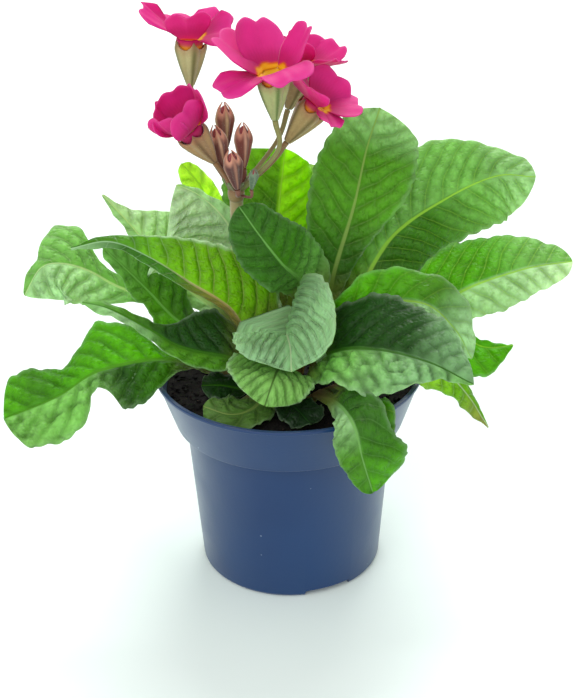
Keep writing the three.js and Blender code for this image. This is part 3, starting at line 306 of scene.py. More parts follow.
# A colour as it looks on a screen, as the light values that shaders use
def screen(red, green, blue):
    values = np.array([red, green, blue]) / 255
    return np.where(values <= 0.04045, values / 12.92, ((values + 0.055) / 1.055) ** 2.4)


# Leaf tones hold painted light and shade as well as the leaves' own greens: pale, soft, grey, mist and white
# are greens lightened by a painted sheen; lime, bright and vivid are partly, glow and sunny wholly, painted
# light shining through the blade; deep, dark and shade are dark greens partly darkened by painted shade.
TONES = {name: screen(*colour) for name, colour in {
    "deep": (24, 58, 20), "dark": (34, 76, 24), "forest": (56, 106, 30), "mid": (62, 122, 16),
    "green": (84, 144, 30), "bright": (80, 158, 0), "lime": (122, 186, 0), "soft": (124, 178, 96),
    "pale": (170, 208, 164), "grey": (134, 176, 130), "olive": (74, 108, 38), "straw": (170, 150, 80),
    "stalk": (112, 122, 58), "root": (140, 96, 72), "vivid": (92, 176, 0), "glow": (196, 240, 70),
    "sunny": (166, 232, 0), "mist": (156, 200, 154), "fresh": (138, 190, 102), "moss": (90, 126, 58),
    "white": (206, 232, 206), "shade": (26, 50, 26), "lime_rib": (160, 206, 70),
    "olive_rib": (142, 168, 88), "tan_rib": (214, 176, 136), "white_rib": (196, 218, 176),
    "petal": (230, 50, 156), "petal_deep": (196, 24, 104), "petal_pale": (240, 96, 184),
    "eye": (246, 196, 16), "eye_edge": (224, 96, 16),
}.items()}


# Meshes
def paint(mesh, title, colour, alpha=1.0):
    colour = np.reshape(colour, (-1, 3))
    values = np.column_stack([colour, np.full(len(colour), alpha)]).astype(np.float32)
    mesh.color_attributes.new(title, "FLOAT_COLOR", "POINT").data.foreach_set("color", values.ravel())


def mesh_object(name, points, faces, material=None, tint=None, maps=None):
    mesh = bpy.data.meshes.new(name)
    points = np.reshape(points, (-1, 3)) * MM
    mesh.from_pydata(points.tolist(), [], [list(map(int, face)) for face in faces])
    if material:
        mesh.materials.append(material)
    mesh.polygons.foreach_set("use_smooth", np.ones(len(mesh.polygons), dtype=bool))
    if tint is not None:
        paint(mesh, "Tint", tint)
    corners = np.empty(len(mesh.loops), dtype=np.int32)
    mesh.loops.foreach_get("vertex_index", corners)
    for title, values in (maps or {}).items():
        values = np.reshape(values, (-1, 2)).astype(np.float32)
        mesh.uv_layers.new(name=title).data.foreach_set("uv", values[corners].ravel())
    mesh.update()
    piece = bpy.data.objects.new(name, mesh)
    bpy.context.scene.collection.objects.link(piece)
    return piece


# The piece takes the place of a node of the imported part
def seat(piece, node):
    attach(piece, BODY)
    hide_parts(node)


# Faces of a grid of points; closed joins its last column to its first
def grid_faces(rows, cols, start=0, closed=False, flip=False):
    wide = cols if closed else cols - 1
    r, c = np.meshgrid(np.arange(rows - 1), np.arange(wide), indexing="ij")
    a = start + r * cols + c
    b = start + r * cols + (c + 1) % cols
    quads = np.stack([a, b, b + cols, a + cols], -1).reshape(-1, 4)
    return quads[:, ::-1] if flip else quads


# A thin closed sheet from the grids of its upper and under side
def sheet_faces(rows, cols):
    count = rows * cols
    edge = np.concatenate([
        np.arange(cols), np.arange(1, rows) * cols + cols - 1,
        (rows - 1) * cols + np.arange(cols - 2, -1, -1), np.arange(rows - 2, 0, -1) * cols,
    ])
    after = np.roll(edge, -1)
    rim = np.stack([edge, edge + count, after + count, after], -1)
    return np.concatenate([grid_faces(rows, cols), grid_faces(rows, cols, count, flip=True), rim])


def unit(vectors):
    return vectors / np.linalg.norm(vectors, axis=-1, keepdims=True)


def mix(first, second, share):
    return first * (1 - share) + second * share


# A smooth curve through points: finely sampled points and their distance along it
def spline(points, steps=200):
    p = np.asarray(points, float)
    p = np.vstack([2 * p[0] - p[1], p, 2 * p[-1] - p[-2]])
    t = np.linspace(0, 1, steps, endpoint=False)[:, None]
    out = []
    for p0, p1, p2, p3 in zip(p, p[1:], p[2:], p[3:]):
        m0, m1 = (p2 - p0) / 2, (p3 - p1) / 2
        out.append(p1 + m0 * t + (-3 * p1 + 3 * p2 - 2 * m0 - m1) * t**2 + (2 * p1 - 2 * p2 + m0 + m1) * t**3)
    curve = np.vstack([*out, p[-2:-1]])
    return curve, np.concatenate([[0], np.cumsum(np.linalg.norm(np.diff(curve, axis=0), axis=1))])


def place_on(curve, distance, t):
    at = np.asarray(t) * distance[-1]
    return np.stack([np.interp(at, distance, curve[:, k]) for k in range(3)], -1)


def heading(curve, distance, t, step=1e-3):
    after = place_on(curve, distance, np.minimum(t + step, 1))
    return unit(after - place_on(curve, distance, np.maximum(t - step, 0)))


# A number or a direction read off a short list that runs evenly from 0 to 1
def blend(values, t):
    values = np.asarray(values, float)
    ends = np.linspace(0, 1, len(values))
    if values.ndim == 1:
        return np.interp(t, ends, values)
    return np.stack([np.interp(t, ends, values[:, k]) for k in range(values.shape[1])], -1)


def smoothstep(value, low, high):
    x = np.clip((value - low) / (high - low), 0, 1)
    return x * x * (3 - 2 * x)


# Smooth noise at points, the same each run
def rough(points, size, seed):
    shift = Vector((seed * 7.3, seed * 3.1, seed * 5.7))
    values = [noise.noise(Vector(p) / size + shift) for p in points.reshape(-1, 3).tolist()]
    return np.reshape(values, points.shape[:-1])


def around(sides):
    return 2 * math.pi * np.arange(sides) / sides


def rings_of(r, z, angle):
    return np.stack([r * np.cos(angle), r * np.sin(angle), z + 0 * angle], -1)


def turned(profile, sides):
    r, z = np.asarray(profile, dtype=float).T[..., None]
    return rings_of(r, z, around(sides))


def fine_profile(points, count):
    curve, distance = spline([(r, z, 0) for r, z in points], 40)
    return place_on(curve, distance, np.linspace(0, 1, count))[:, :2]


# Shaders
class Shader:
    def __init__(self, name):
        self.material = bpy.data.materials.new(name)
        self.material.use_nodes = True
        self.nodes = self.material.node_tree.nodes
        self.links = self.material.node_tree.links
        self.nodes.clear()

    def put(self, socket, value):
        if isinstance(value, bpy.types.NodeSocket):
            self.links.new(value, socket)
        elif hasattr(socket.default_value, "__len__"):
            value = tuple(value)
            colour = len(socket.default_value) == 4 and len(value) == 3
            socket.default_value = (*value, 1) if colour else value
        else:
            socket.default_value = value

    def node(self, kind, settings=(), **inputs):
        made = self.nodes.new(kind)
        for key, value in dict(settings).items():
            setattr(made, key, value)
        for key, value in inputs.items():
            self.put(made.inputs[key.replace("_", " ")], value)
        return made

    def math(self, operation, *values):
        made = self.node("ShaderNodeMath", {"operation": operation})
        for k, value in enumerate(values):
            self.put(made.inputs[k], value)
        return made.outputs[0]

    def times(self, first, second):
        return self.math("MULTIPLY", first, second)

    def plus(self, first, second):
        return self.math("ADD", first, second)

    def minus(self, first, second):
        return self.math("SUBTRACT", first, second)

    def most(self, first, second):
        return self.math("MAXIMUM", first, second)

    def step(self, value, low, high, start=0.0, end=1.0):
        return self.node("ShaderNodeMapRange", {"interpolation_type": "SMOOTHSTEP"}, Value=value,
                         From_Min=low, From_Max=high, To_Min=start, To_Max=end).outputs[0]

    def mix(self, factor, first, second, blend_type="MIX"):
        made = self.node("ShaderNodeMix", {"data_type": "RGBA", "blend_type": blend_type})
        for k, value in ((0, factor), (6, first), (7, second)):
            self.put(made.inputs[k], value)
        return made.outputs[2]

    def dyed(self, colour, by):
        return self.mix(1.0, colour, by, "MULTIPLY")

    def where(self):
        return self.node("ShaderNodeTexCoord").outputs["Object"]

    def noise(self, scale, detail, vector=None):
        vector = self.where() if vector is None else vector
        return self.node("ShaderNodeTexNoise", Scale=scale, Detail=detail, Vector=vector).outputs["Fac"]

    def painted(self, title):
        return self.node("ShaderNodeVertexColor", {"layer_name": title})

    def bump(self, height, distance, strength=1.0):
        return self.node("ShaderNodeBump", Height=height, Distance=distance, Strength=strength).outputs[0]

    # The finished surface, with a share of light that comes through it
    def skin(self, colour, normal=None, through=None, share=0.0, **settings):
        relief = {} if normal is None else {"Normal": normal}
        surface = self.node("ShaderNodeBsdfPrincipled", Base_Color=colour, **relief, **settings).outputs[0]
        if through is not None:
            glow = self.node("ShaderNodeBsdfTranslucent", Color=through, **relief)
            mixed = self.node("ShaderNodeMixShader")
            for k, value in enumerate((share, surface, glow.outputs[0])):
                self.put(mixed.inputs[k], value)
            surface = mixed.outputs[0]
        self.node("ShaderNodeOutputMaterial", Surface=surface)
        return self.material


# Leaf veins, in mm along and across the blade: side veins leave the midrib every VEIN_STEP and sweep
# forwards, and cross veins join them.
VEIN_STEP = 7.0
VEIN_LEAN = 0.62
VEIN_SWEEP = 0.014
VEIN_SLANT = 0.85
CROSS_STEP = 4.4
CROSS_LEAN = 0.3
CROSS_SHIFT = 0.37
RIB_HALF = (0.85, 0.22)
NET_PER_UV = 58
GRAIN_PER_UV = 170
UV_SPAN = 100


# One skin for all leaves. Surface holds the millimetres along and across the blade, Place how far along
# and across a point is from 0 to 1. Tint is the leaf's colour with painted sheen, light and shade in it,
# Vein that of its midrib, and the last channel of Vein how strongly the side veins take that colour.
def leaf_material():
    s = Shader("leaf_skin")
    uv, spot = (s.node("ShaderNodeUVMap", {"uv_map": title}).outputs[0] for title in ("Surface", "Place"))
    along, across = s.node("ShaderNodeSeparateXYZ", Vector=spot).outputs[:2]
    x, signed = (s.times(part, UV_SPAN) for part in s.node("ShaderNodeSeparateXYZ", Vector=uv).outputs[:2])
    y = s.math("ABSOLUTE", signed)
    forward = s.plus(s.times(y, VEIN_LEAN), s.times(s.times(y, y), VEIN_SWEEP))
    side = s.times(s.math("GREATER_THAN", signed, 0), 0.5)
    phase = s.plus(s.math("DIVIDE", s.minus(x, forward), VEIN_STEP), side)
    far = s.times(s.math("PINGPONG", phase, 0.5), VEIN_STEP * VEIN_SLANT)
    shift = s.times(s.math("FLOOR", s.plus(phase, 0.5)), CROSS_SHIFT)
    cross = s.math("DIVIDE", s.plus(y, s.times(x, CROSS_LEAN)), CROSS_STEP)
    cross_far = s.times(s.math("PINGPONG", s.plus(cross, shift), 0.5), CROSS_STEP)
    net = s.node("ShaderNodeTexVoronoi", {"feature": "DISTANCE_TO_EDGE"}, Vector=uv, Scale=NET_PER_UV)
    net_far = net.outputs["Distance"]
    midrib = s.step(s.math("DIVIDE", y, s.step(along, 0.2, 1.0, *RIB_HALF)), 0.6, 1.5, 1, 0)
    blade = s.step(y, 0.8, 2.5)

    fine = s.most(s.times(s.step(cross_far, 0.04, 0.26, 1, 0), 0.5),
                  s.times(s.step(net_far, 0.0, 0.1, 1, 0), 0.25))
    line = s.most(s.step(far, 0.06, 0.36, 1, 0), s.times(fine, blade))
    vein = s.painted("Vein")
    line = s.most(s.times(line, vein.outputs["Alpha"]), s.times(midrib, 0.85))

    # band and puff mark the vein grooves and the puffs between them: they shape the bump, and the grooves are
    # darkened as painted shade.
    band = s.most(s.step(far, 0.0, 1.6, 1, 0), s.times(s.step(cross_far, 0.0, 1.1, 1, 0), 0.6))
    band = s.times(s.times(band, blade), s.step(across, 0.45, 1.0, 1.0, 0.35))
    puff = s.times(s.step(net_far, 0.0, 0.4), blade)
    tint = s.painted("Tint").outputs["Color"]
    mottle = s.times(s.step(s.noise(26, 5.0, uv), 0.35, 0.7), 0.3)
    # shade: painted shade in the vein grooves and along the net between the puffs, with a random mottle.
    shade = s.plus(s.plus(s.times(band, 0.3), mottle), s.times(s.minus(1, puff), 0.2))
    body = s.mix(shade, tint, s.dyed(tint, (0.5, 0.62, 0.4)))
    colour = s.mix(line, body, vein.outputs["Color"])
    through = s.mix(0.4, s.dyed(colour, (3.0, 2.4, 0.8)), (0.42, 0.8, 0.03))

    height = s.plus(s.times(puff, 0.2), s.times(s.noise(GRAIN_PER_UV, 3.0, uv), 0.16))
    height = s.plus(s.minus(height, s.times(band, 0.5)), s.times(midrib, 0.15))
    return s.skin(colour, s.bump(height, MM), through, 0.32, Roughness=0.42, Specular_IOR_Level=0.22,
                  Sheen_Weight=0.05, Sheen_Roughness=0.4, Sheen_Tint=(0.85, 1.0, 0.88))


# The colour along half a leaf, painted sheen, light and shade included, from the names of tones that run
# from the blade's base to its tip
def tone_along(names, u):
    return blend([TONES[name] for name in names.split()], u)


# Leaves. Rows of points run along the midrib and columns across it.
def leaf_frames(leaf, t):
    x, y = leaf["root"]
    curve, distance = spline([(x, y, SOIL_TOP - ROOT_DEPTH), (x, y, SOIL_TOP + ROOT_RISE), *leaf["midrib"]])
    turned_from = np.maximum(t, UNTURNED_ROOT / distance[-1])
    along = heading(curve, distance, t)
    side = np.cross(heading(curve, distance, turned_from), blend(leaf["face"], turned_from))
    side = unit(side - along * np.sum(side * along, axis=-1, keepdims=True))
    return place_on(curve, distance, t), side, np.cross(side, along), distance[-1]


# How far across and up a half blade has come at q of its width, bending evenly on the way
def bent_half(width, fold, curl, q):
    curl = np.where(np.abs(curl) < 1e-3, 1e-3, curl)
    end = fold + curl * q
    return width * (np.sin(end) - np.sin(fold)) / curl, width * (np.cos(fold) - np.cos(end)) / curl


# The distance to the nearest of a row of veins that lie one phase apart
def vein_distance(phase, step):
    return np.abs(phase - np.round(phase)) * step


def leaf_object(name, index, material):
    leaf = LEAVES[name]
    length = leaf_frames(leaf, np.zeros(1))[-1]
    rows = int(length / GRID_STEP) + 1
    cols = 2 * int(max(leaf["width"]) / GRID_STEP) + 1
    t = 1 - (1 - np.arange(rows)[:, None] / (rows - 1)) ** ROW_PACKING
    s = np.linspace(-1, 1, cols)[None, :]
    at, side, up, _ = leaf_frames(leaf, t)
    u = TIP_ROUND * np.clip((t - leaf["start"]) / (1 - leaf["start"]), 0, 1)
    q = np.abs(s)
    left = s < 0
    sign = np.where(left, -1.0, 1.0)

    peak = leaf["belly"] / (leaf["belly"] + leaf["point"])
    full = (u / peak) ** leaf["belly"] * ((1 - u) / (1 - peak)) ** leaf["point"]
    blade = smoothstep(full, 0.12, 0.45)
    flat = smoothstep(t * length, *FLAT_ROOT) * math.pi / 180
    fold, curl = (np.where(left, flat * blend(leaf[f"{bend}_left"], t), flat * blend(leaf[bend], t))
                  for bend in ("fold", "curl"))
    stalk = STALK["half"] * np.clip(STALK["taper"] * (1 - t), STALK["tip"], 1)
    tip = max(leaf["width"]) * full[-1] / length
    rounding = np.maximum(np.sqrt(np.maximum(0, 1 - np.clip((t - 1 + tip) / tip, 0, 1) ** 2)), 0.03)
    scallops = SCALLOP["count"] + index % 3
    lobes = np.abs(np.sin(math.pi * scallops * u + sign * 0.4))
    uneven = np.sin(5.3 * u + index) * 0.5 + np.sin(11.7 * u + 2.1 * index) * 0.3
    outline = 1 - blade * (SCALLOP["depth"] * (1 - lobes) + SCALLOP["uneven"] * uneven)
    form = np.where(left, blend(leaf["left"], u), blend(leaf["right"], u))
    width = np.maximum(np.where(left, *leaf["width"]) * full * form, stalk) * outline * rounding
    across, rise = bent_half(width, fold, curl, q)
    turn = 2 * math.pi * leaf["waves"] * u + leaf["phase"] + np.where(left, 0, RIGHT_LAG)
    wave = leaf["wave"] * q**2 * np.sin(turn) * np.minimum(1, 1.5 * full)
    frill = SCALLOP["frill"] * q**4 * np.sin(math.pi * scallops * u + index + sign) * blade
    tilt = fold + curl * q
    normal = up * np.cos(tilt)[..., None] - side * (sign * np.sin(tilt))[..., None]

    out = width * q
    run = t * length + 0 * out
    grid = np.stack([run, sign * out, 0 * out], -1)
    run = run + 1.3 * rough(grid, 9, index) + 2.2 * rough(grid, 26, index + 3)
    wide = out + np.minimum(1, out / 4) * 0.9 * rough(grid, 7, index + 9)
    run = run - (leaf["lean"] - VEIN_LEAN) * wide
    phase = (run - (VEIN_LEAN * wide + VEIN_SWEEP * wide**2)) / VEIN_STEP + np.where(left, 0, 0.5)
    cross = (wide + CROSS_LEAN * run) / CROSS_STEP + np.floor(phase + 0.5) * CROSS_SHIFT
    between = 1 - np.exp(-((vein_distance(cross, CROSS_STEP) / 0.8) ** 2))
    puff = 1 - np.exp(-((vein_distance(phase, VEIN_STEP) * VEIN_SLANT / 1.3) ** 2))
    puff = puff * (0.6 + 0.4 * between)
    rib_half = 0.5 + 1.0 * (1 - t)
    groove = np.exp(-((out / (1.2 * rib_half)) ** 2))
    fine = smoothstep(out, 1, 4) * (1 - 0.5 * smoothstep(q, 0.4, 0.9)) * (1 - smoothstep(q, 0.9, 1.0))
    quilt, bubbles = (np.where(left, *leaf[kind]) for kind in ("quilt", "bubbles"))
    dome = smoothstep(np.abs(rough(grid, 6.5, index + 20)), 0, 0.26)
    relief = blade * (RELIEF["quilt"] * quilt * (puff - RELIEF["level"]) * fine
                      + RELIEF["bubbles"] * bubbles * (dome - RELIEF["level"]) * fine
                      - RELIEF["groove"] * groove)
    smooth = at + side * (sign * across)[..., None] + up * (rise + wave + frill)[..., None]
    top = smooth + normal * (relief + RELIEF["sag"] * rough(smooth, 14, index) * blade)[..., None]
    rib = RIB["thick"] * (1 - t) ** RIB["fade"] * np.exp(-((out / (RIB["spread"] * rib_half)) ** 2))
    under = top - normal * (BLADE_THICK + rib)[..., None]

    base = smoothstep(u, 0.0, 0.22)[..., None]
    stem = mix(TONES["root"], TONES["stalk"], smoothstep(t * length, 14, 34)[..., None])
    tone = mix(stem, np.where(left[..., None], *(tone_along(names, u) for names in leaf["tones"])), base)
    patch = 1 + (0.25 * rough(smooth, 22, index + 40) + 0.15 * rough(smooth, 8, index + 60))[..., None]
    # Painted highlight and shade: the crests of the quilting and the domes are lighter, the grooves between
    # them darker.
    painted_puff_light_and_shade = 1 + ((0.35 * (puff - 0.5) + 0.4 * bubbles * (dome - RELIEF["level"])) * blade)[..., None]
    # Painted sheen: the margin is lightened towards white, as strongly as edge says.
    margin = (leaf["edge"] * smoothstep(q, 0.88, 1.0) * blade)[..., None]
    tints = [mix(tone * patch * painted_puff_light_and_shade, TONES["white"], margin), mix(tone * patch, TONES["pale"], 0.45)]
    rib_tone = mix(stem, tone_along(leaf["rib"], u), base) + 0 * tone
    surface = np.stack([run, sign * wide], -1) / UV_SPAN
    place = np.stack([t + 0 * q, q + 0 * t], -1)
    piece = mesh_object(f"{name}_blade", [top, under], sheet_faces(rows, cols), material, tints,
                        {"Surface": [surface] * 2, "Place": [place] * 2})
    paint(piece.data, "Vein", [rib_tone] * 2, leaf["veins"])
    seat(piece, name)


# Flower head. Flowers are made upright and then stood up along their own axis.
def stand_up(points, base, axis):
    along = Vector(axis).normalized()
    right = (Vector((1, 0, 0)) - along * along.x).normalized()
    turn = Matrix((right, along.cross(right), along)).transposed()
    return np.asarray(points) @ np.array(turn).T + np.array(base, float)


def compass(turn):
    return np.array([math.cos(turn), math.sin(turn), 0]), np.array([-math.sin(turn), math.cos(turn), 0])


# The upper side of a petal, its normals, and how far along and across each point is
def petal_grid(petal, rows, cols, seed):
    azimuth, length, half_width = petal[:3]
    turn, low, high, roll = (math.radians(v) for v in (azimuth, *petal[3:]))
    out, side = compass(turn)
    s = np.linspace(0, 1, rows)[:, None]
    q = np.linspace(-1, 1, cols)[None, :]
    notch = PETAL["notch"] * np.maximum(0, 1 - np.abs(q) / 0.5) ** 1.4
    shallow = 0.012 * np.sin(9 * q + seed) * s**3
    reach = s * (1 - notch * s**2 - PETAL["corner"] * q**4 + shallow)
    half = half_width * np.sin(math.pi / 2 * np.minimum(1, PETAL["waist"] + s))
    across, rise = bent_half(length, low, high - low, reach)
    tilt = low + (high - low) * reach
    normal = np.cos(tilt)[..., None] * UP - np.sin(tilt)[..., None] * out
    shell = PETAL["cup"] * q**2 * s + PETAL["overlap"] * q * np.minimum(1, 2 * s) \
        + PETAL["ruffle"] * s * np.sin(4 * q + azimuth) + 0.3 * s**2 * np.sin(7 * q + 3 * s + seed) \
        - 0.35 * s * np.exp(-((q / 0.12) ** 2))
    top = THROAT_TOP * UP + out * (PETAL["root"] + across)[..., None] + UP * rise[..., None] \
        + side * (q * half * np.cos(roll * s))[..., None] \
        + normal * (shell + q * half * np.sin(roll * s))[..., None]
    return top, normal, s + 0 * q, q + 0 * s


# The colours of a petal's upper and under side
def petal_tints(s, q, length):
    far = s * length
    eye = PETAL["eye"] - 1.1 * np.abs(q) ** 1.5 + 0.3 * np.sin(6 * q)
    inside = smoothstep(far, eye, eye - 0.8)[..., None]
    edge = smoothstep(far, eye + 0.7, eye - 0.2)[..., None] - inside
    streak = (0.5 + 0.5 * np.sin(38 * q + 3 * np.sin(5 * s))) * smoothstep(far, 14, 3) * 0.3
    base = mix(TONES["petal"], TONES["petal_deep"], smoothstep(far, 10, 3)[..., None] * 0.75)
    base = mix(base, TONES["petal_deep"], streak[..., None])
    base = mix(base, TONES["petal_pale"], smoothstep(s, 0.85, 1.0)[..., None] * 0.4)
    upper = base * (1 - inside - edge) + TONES["eye"] * inside + TONES["eye_edge"] * edge
    under = mix(mix(base, TONES["petal_deep"], 0.2), TONES["eye_edge"], smoothstep(far, 1.2, 0.2)[..., None])
    return upper, under


def corolla_object(name, flower, material, index):
    points, faces, tints = [], [], []
    rows, cols = PETAL["rows"], PETAL["cols"]
    for k, petal in enumerate(flower["petals"]):
        top, normal, s, q = petal_grid(petal, rows, cols, index * 5 + k)
        points.append(np.reshape([top, top - normal * PETAL["thick"]], (-1, 3)))
        tints.append(np.reshape(petal_tints(s, q, petal[1]), (-1, 3)))
        faces.append(sheet_faces(rows, cols)[:, ::-1] + 2 * rows * cols * k)
    throat = np.vstack([fine_profile(THROAT_OUTER, 16), fine_profile(THROAT_INNER, 12)])
    rings = turned(throat, THROAT_SIDES)
    height = np.linspace(0, 1, len(throat))[:, None, None]
    outside, inside = (screen(*colour) for colour in flower.get("throat", OPEN_THROAT))
    blush = smoothstep(rings[..., 2:], 15.4, 16.8) * (height < 0.6)
    tint = mix(np.where(height < 0.6, outside, inside), TONES["petal_deep"], blush)
    tints.append(np.where(height > 0.85, screen(*THROAT_HEART), tint).reshape(-1, 3))
    points.append(rings.reshape(-1, 3))
    faces.append(grid_faces(len(throat), THROAT_SIDES, 2 * rows * cols * len(flower["petals"]), closed=True))
    placed = stand_up(np.vstack(points), flower["base"], flower["axis"])
    seat(mesh_object(f"{name}_petals", placed, np.vstack(faces), material, np.vstack(tints)), name)


# Short hairs that stand on a surface, as thin three-sided spikes
def hairs_on(points, quads, count, seed):
    rng = np.random.default_rng(seed)
    corners = points[quads]
    edge_a, edge_b = corners[:, 1] - corners[:, 0], corners[:, 3] - corners[:, 0]
    normals = np.cross(edge_a, edge_b)
    area = np.linalg.norm(normals, axis=1)
    made, spikes = [], []
    for face in rng.choice(len(quads), count, p=area / area.sum()):
        foot = corners[face][0] + edge_a[face] * rng.random() + edge_b[face] * rng.random()
        out = unit(normals[face] / area[face] + HAIR["lean"] * rng.normal(size=3))
        side = unit(np.cross(out, rng.normal(size=3)))
        back = np.cross(out, side)
        first = len(points) + len(made)
        for turn in np.radians([0, 120, 240]):
            made.append(foot + HAIR["thick"] * (side * math.cos(turn) + back * math.sin(turn)))
        made.append(foot + out * rng.uniform(HAIR["short"], HAIR["long"]))
        spikes += [[first + k, first + (k + 1) % 3, first + 3] for k in range(3)]
    return np.array(made), spikes


def downy_object(name, points, quads, material, tint, count):
    made, spikes = hairs_on(points, quads, count, len(name))
    tint = np.vstack([tint, np.broadcast_to(screen(*HAIR["tone"]), made.shape)])
    return mesh_object(name, np.vstack([points, made]), quads.tolist() + spikes, material, tint)


# A cup with five ribs, each ending in a pointed tooth. Sizes are read off the profile at each height.
def toothed_cup(cup):
    angle = around(cup["sides"])
    ridge = 2 * np.abs(np.cos(2.5 * angle)) ** 1.5 - 1
    low, tooth = cup["teeth"]
    curve = fine_profile(cup["profile"], 200)
    top = low + tooth * (1 - np.abs(np.sin(2.5 * angle)) ** 0.8)[None, :]
    v = np.linspace(0, 1, cup["rows"])[:, None]
    back = np.linspace(1, 0, cup["rows"])[:, None]
    height = v * top
    grow = 1 + cup["rib"] * ridge[None, :] * smoothstep(v, 0, 0.25)
    inner_height = cup["floor"] + back * (top - cup["floor"])
    radius, inner = (np.interp(h, curve[:, 1], curve[:, 0]) for h in (height, inner_height))
    inner = np.maximum(inner * grow[-1] - cup["wall"], 0) * smoothstep(back, 0, 0.15)
    inner = inner * (1 - 0.02 * (back == 1))
    rings = rings_of(np.vstack([radius * grow, inner]), np.vstack([height, inner_height]), angle)
    keel = np.clip(ridge, 0, 1)[None, :, None] ** 3
    reach = np.vstack([v, back])[..., None]
    return rings, keel, reach


def calyx_object(name, flower, material):
    rings, keel, reach = toothed_cup(CALYX)
    rib, web = (screen(*colour) for colour in flower["calyx"])
    tint = mix(mix(web, rib, keel), screen(*CALYX_TIP), 0.4 * smoothstep(reach, 0.72, 1.0))
    tint = tint * (0.85 + 0.25 * reach)
    points = stand_up(rings.reshape(-1, 3), flower["base"], flower["axis"])
    quads = grid_faces(*rings.shape[:2], closed=True)
    piece = downy_object(f"{name}_cup", points, quads, material, tint.reshape(-1, 3), HAIRS["calyx"])
    seat(piece, name)


def bud_object(name, bud, material):
    rings, keel, reach = toothed_cup(BUD)
    pale, deep = (screen(*colour) for colour in bud["tones"])
    tint = mix(mix(deep, pale, keel), screen(*bud.get("tip", BUD_TIP)), smoothstep(reach, 0.78, 1.0))
    r, z = fine_profile(BUD_HEART, 16).T[..., None]
    angle = around(BUD["sides"])
    heart = rings_of(r * (1 + 0.1 * np.sin(5 * (angle + 1.6 * z))), z, angle)
    size = np.array([bud["half"], bud["half"], bud["length"]])
    points = np.vstack([rings.reshape(-1, 3), heart.reshape(-1, 3)]) * size
    faces = np.vstack([grid_faces(*rings.shape[:2], closed=True),
                       grid_faces(*heart.shape[:2], rings.shape[0] * rings.shape[1], closed=True)])
    tints = np.vstack([tint.reshape(-1, 3), np.broadcast_to(screen(*FOLDED_PETALS), (heart[..., 0].size, 3))])
    placed = stand_up(points, bud["base"], bud["axis"])
    seat(downy_object(f"{name}_cup", placed, faces, material, tints, HAIRS["bud"]), name)


# A round stalk along a curve, with its radii from foot to top
def stalk_rings(path, radii, rows, sides, flutes=0.0):
    curve, distance = spline(path, 60)
    t = np.linspace(0, 1, rows)[:, None]
    along = heading(curve, distance, t)
    side = unit(np.cross(along, (0.3, 1, 0.2)))
    angle = around(sides)
    r = blend(radii, t) * (1 + flutes * np.cos(5 * angle))
    return place_on(curve, distance, t) + side * (r * np.cos(angle))[..., None] \
        + np.cross(along, side) * (r * np.sin(angle))[..., None]


def bract_sheet(turn):
    out, side = compass(turn)
    t = np.linspace(0, 1, BRACT["rows"])[:, None, None]
    q = np.linspace(-1, 1, BRACT["cols"])[None, :, None]
    half = BRACT["half"] * (1 - t) ** 0.6 + BRACT["tip"]
    top = np.array(UMBEL) + out * (BRACT["root"] + BRACT["reach"] * t + BRACT["hollow"] * q**2 * (1 - t)) \
        - side * q * half + UP * BRACT["rise"] * t**0.7
    tint = mix(*(screen(*colour) for colour in BRACT_TONES), t) + 0 * q
    under = top + out * BRACT["lean"] - UP * BRACT["thick"]
    return np.reshape([top, under], (-1, 3)), np.reshape([tint, tint], (-1, 3))


def flower_stalk_object(material):
    points, faces, tints = [], [], []

    def add(made, tint, quads):
        faces.append(quads + sum(map(len, points)))
        points.append(made.reshape(-1, 3))
        tints.append(tint.reshape(-1, 3))

    def add_rings(rings, tones):
        low, high = (screen(*colour) for colour in tones)
        t = np.linspace(0, 1, len(rings))[:, None, None]
        add(rings, mix(low, high, t) + 0 * rings, grid_faces(*rings.shape[:2], closed=True))

    add_rings(stalk_rings(SCAPE_PATH, SCAPE_RADII, 60, 28, 0.03), SCAPE_TONES)
    add_rings(turned(fine_profile(KNOB, 16), 28) + np.array(UMBEL), KNOB_TONES)
    for flower in (*FLOWERS.values(), *BUDS.values()):
        down = -unit(np.array(flower["axis"], float))
        last = np.array(flower["base"], float) + down * SEAT_GAP
        bend = last + down * PEDICEL_BEND * np.linalg.norm(last - np.array(UMBEL))
        radii = PEDICEL_RADII * flower.get("thin", 1.0)
        add_rings(stalk_rings([UMBEL, bend, last], radii, 26, 16), flower.get("stalk", BUD_STALK))
    for k in range(BRACT["count"]):
        turn = math.radians(BRACT["first"] + 360 * k / BRACT["count"])
        add(*bract_sheet(turn), sheet_faces(BRACT["rows"], BRACT["cols"]))
    piece = downy_object("flower_stalk_skin", np.vstack(points), np.vstack(faces), material,
                         np.vstack(tints), HAIRS["stalk"])
    seat(piece, "flower_stalk")


def stalk_material(name):
    s = Shader(name)
    tint = s.painted("Tint").outputs["Color"]
    fleck = s.times(s.step(s.noise(900, 4.0), 0.4, 0.75), 0.3)
    colour = s.mix(fleck, tint, s.dyed(tint, (1.5, 1.45, 1.4)))
    normal = s.bump(s.noise(1500, 3.0), 0.0002, 0.5)
    return s.skin(colour, normal, s.dyed(tint, (1.6, 1.5, 1.1)), 0.18, Roughness=0.6,
                  Sheen_Weight=0.5, Sheen_Roughness=0.4)


def petal_material():
    s = Shader("petal_skin")
    tint = s.painted("Tint").outputs["Color"]
    cloud = s.times(s.step(s.noise(240, 3.0), 0.35, 0.7), 0.25)
    colour = s.mix(cloud, tint, s.dyed(tint, (0.8, 0.6, 0.75)))
    normal = s.bump(s.noise(1300, 3.0), 0.00015, 0.4)
    return s.skin(colour, normal, s.dyed(tint, (1.15, 1.0, 1.1)), 0.4, Roughness=0.55,
                  Specular_IOR_Level=0.3, Sheen_Weight=0.35, Sheen_Roughness=0.3, Sheen_Tint=(1.0, 0.7, 0.9))


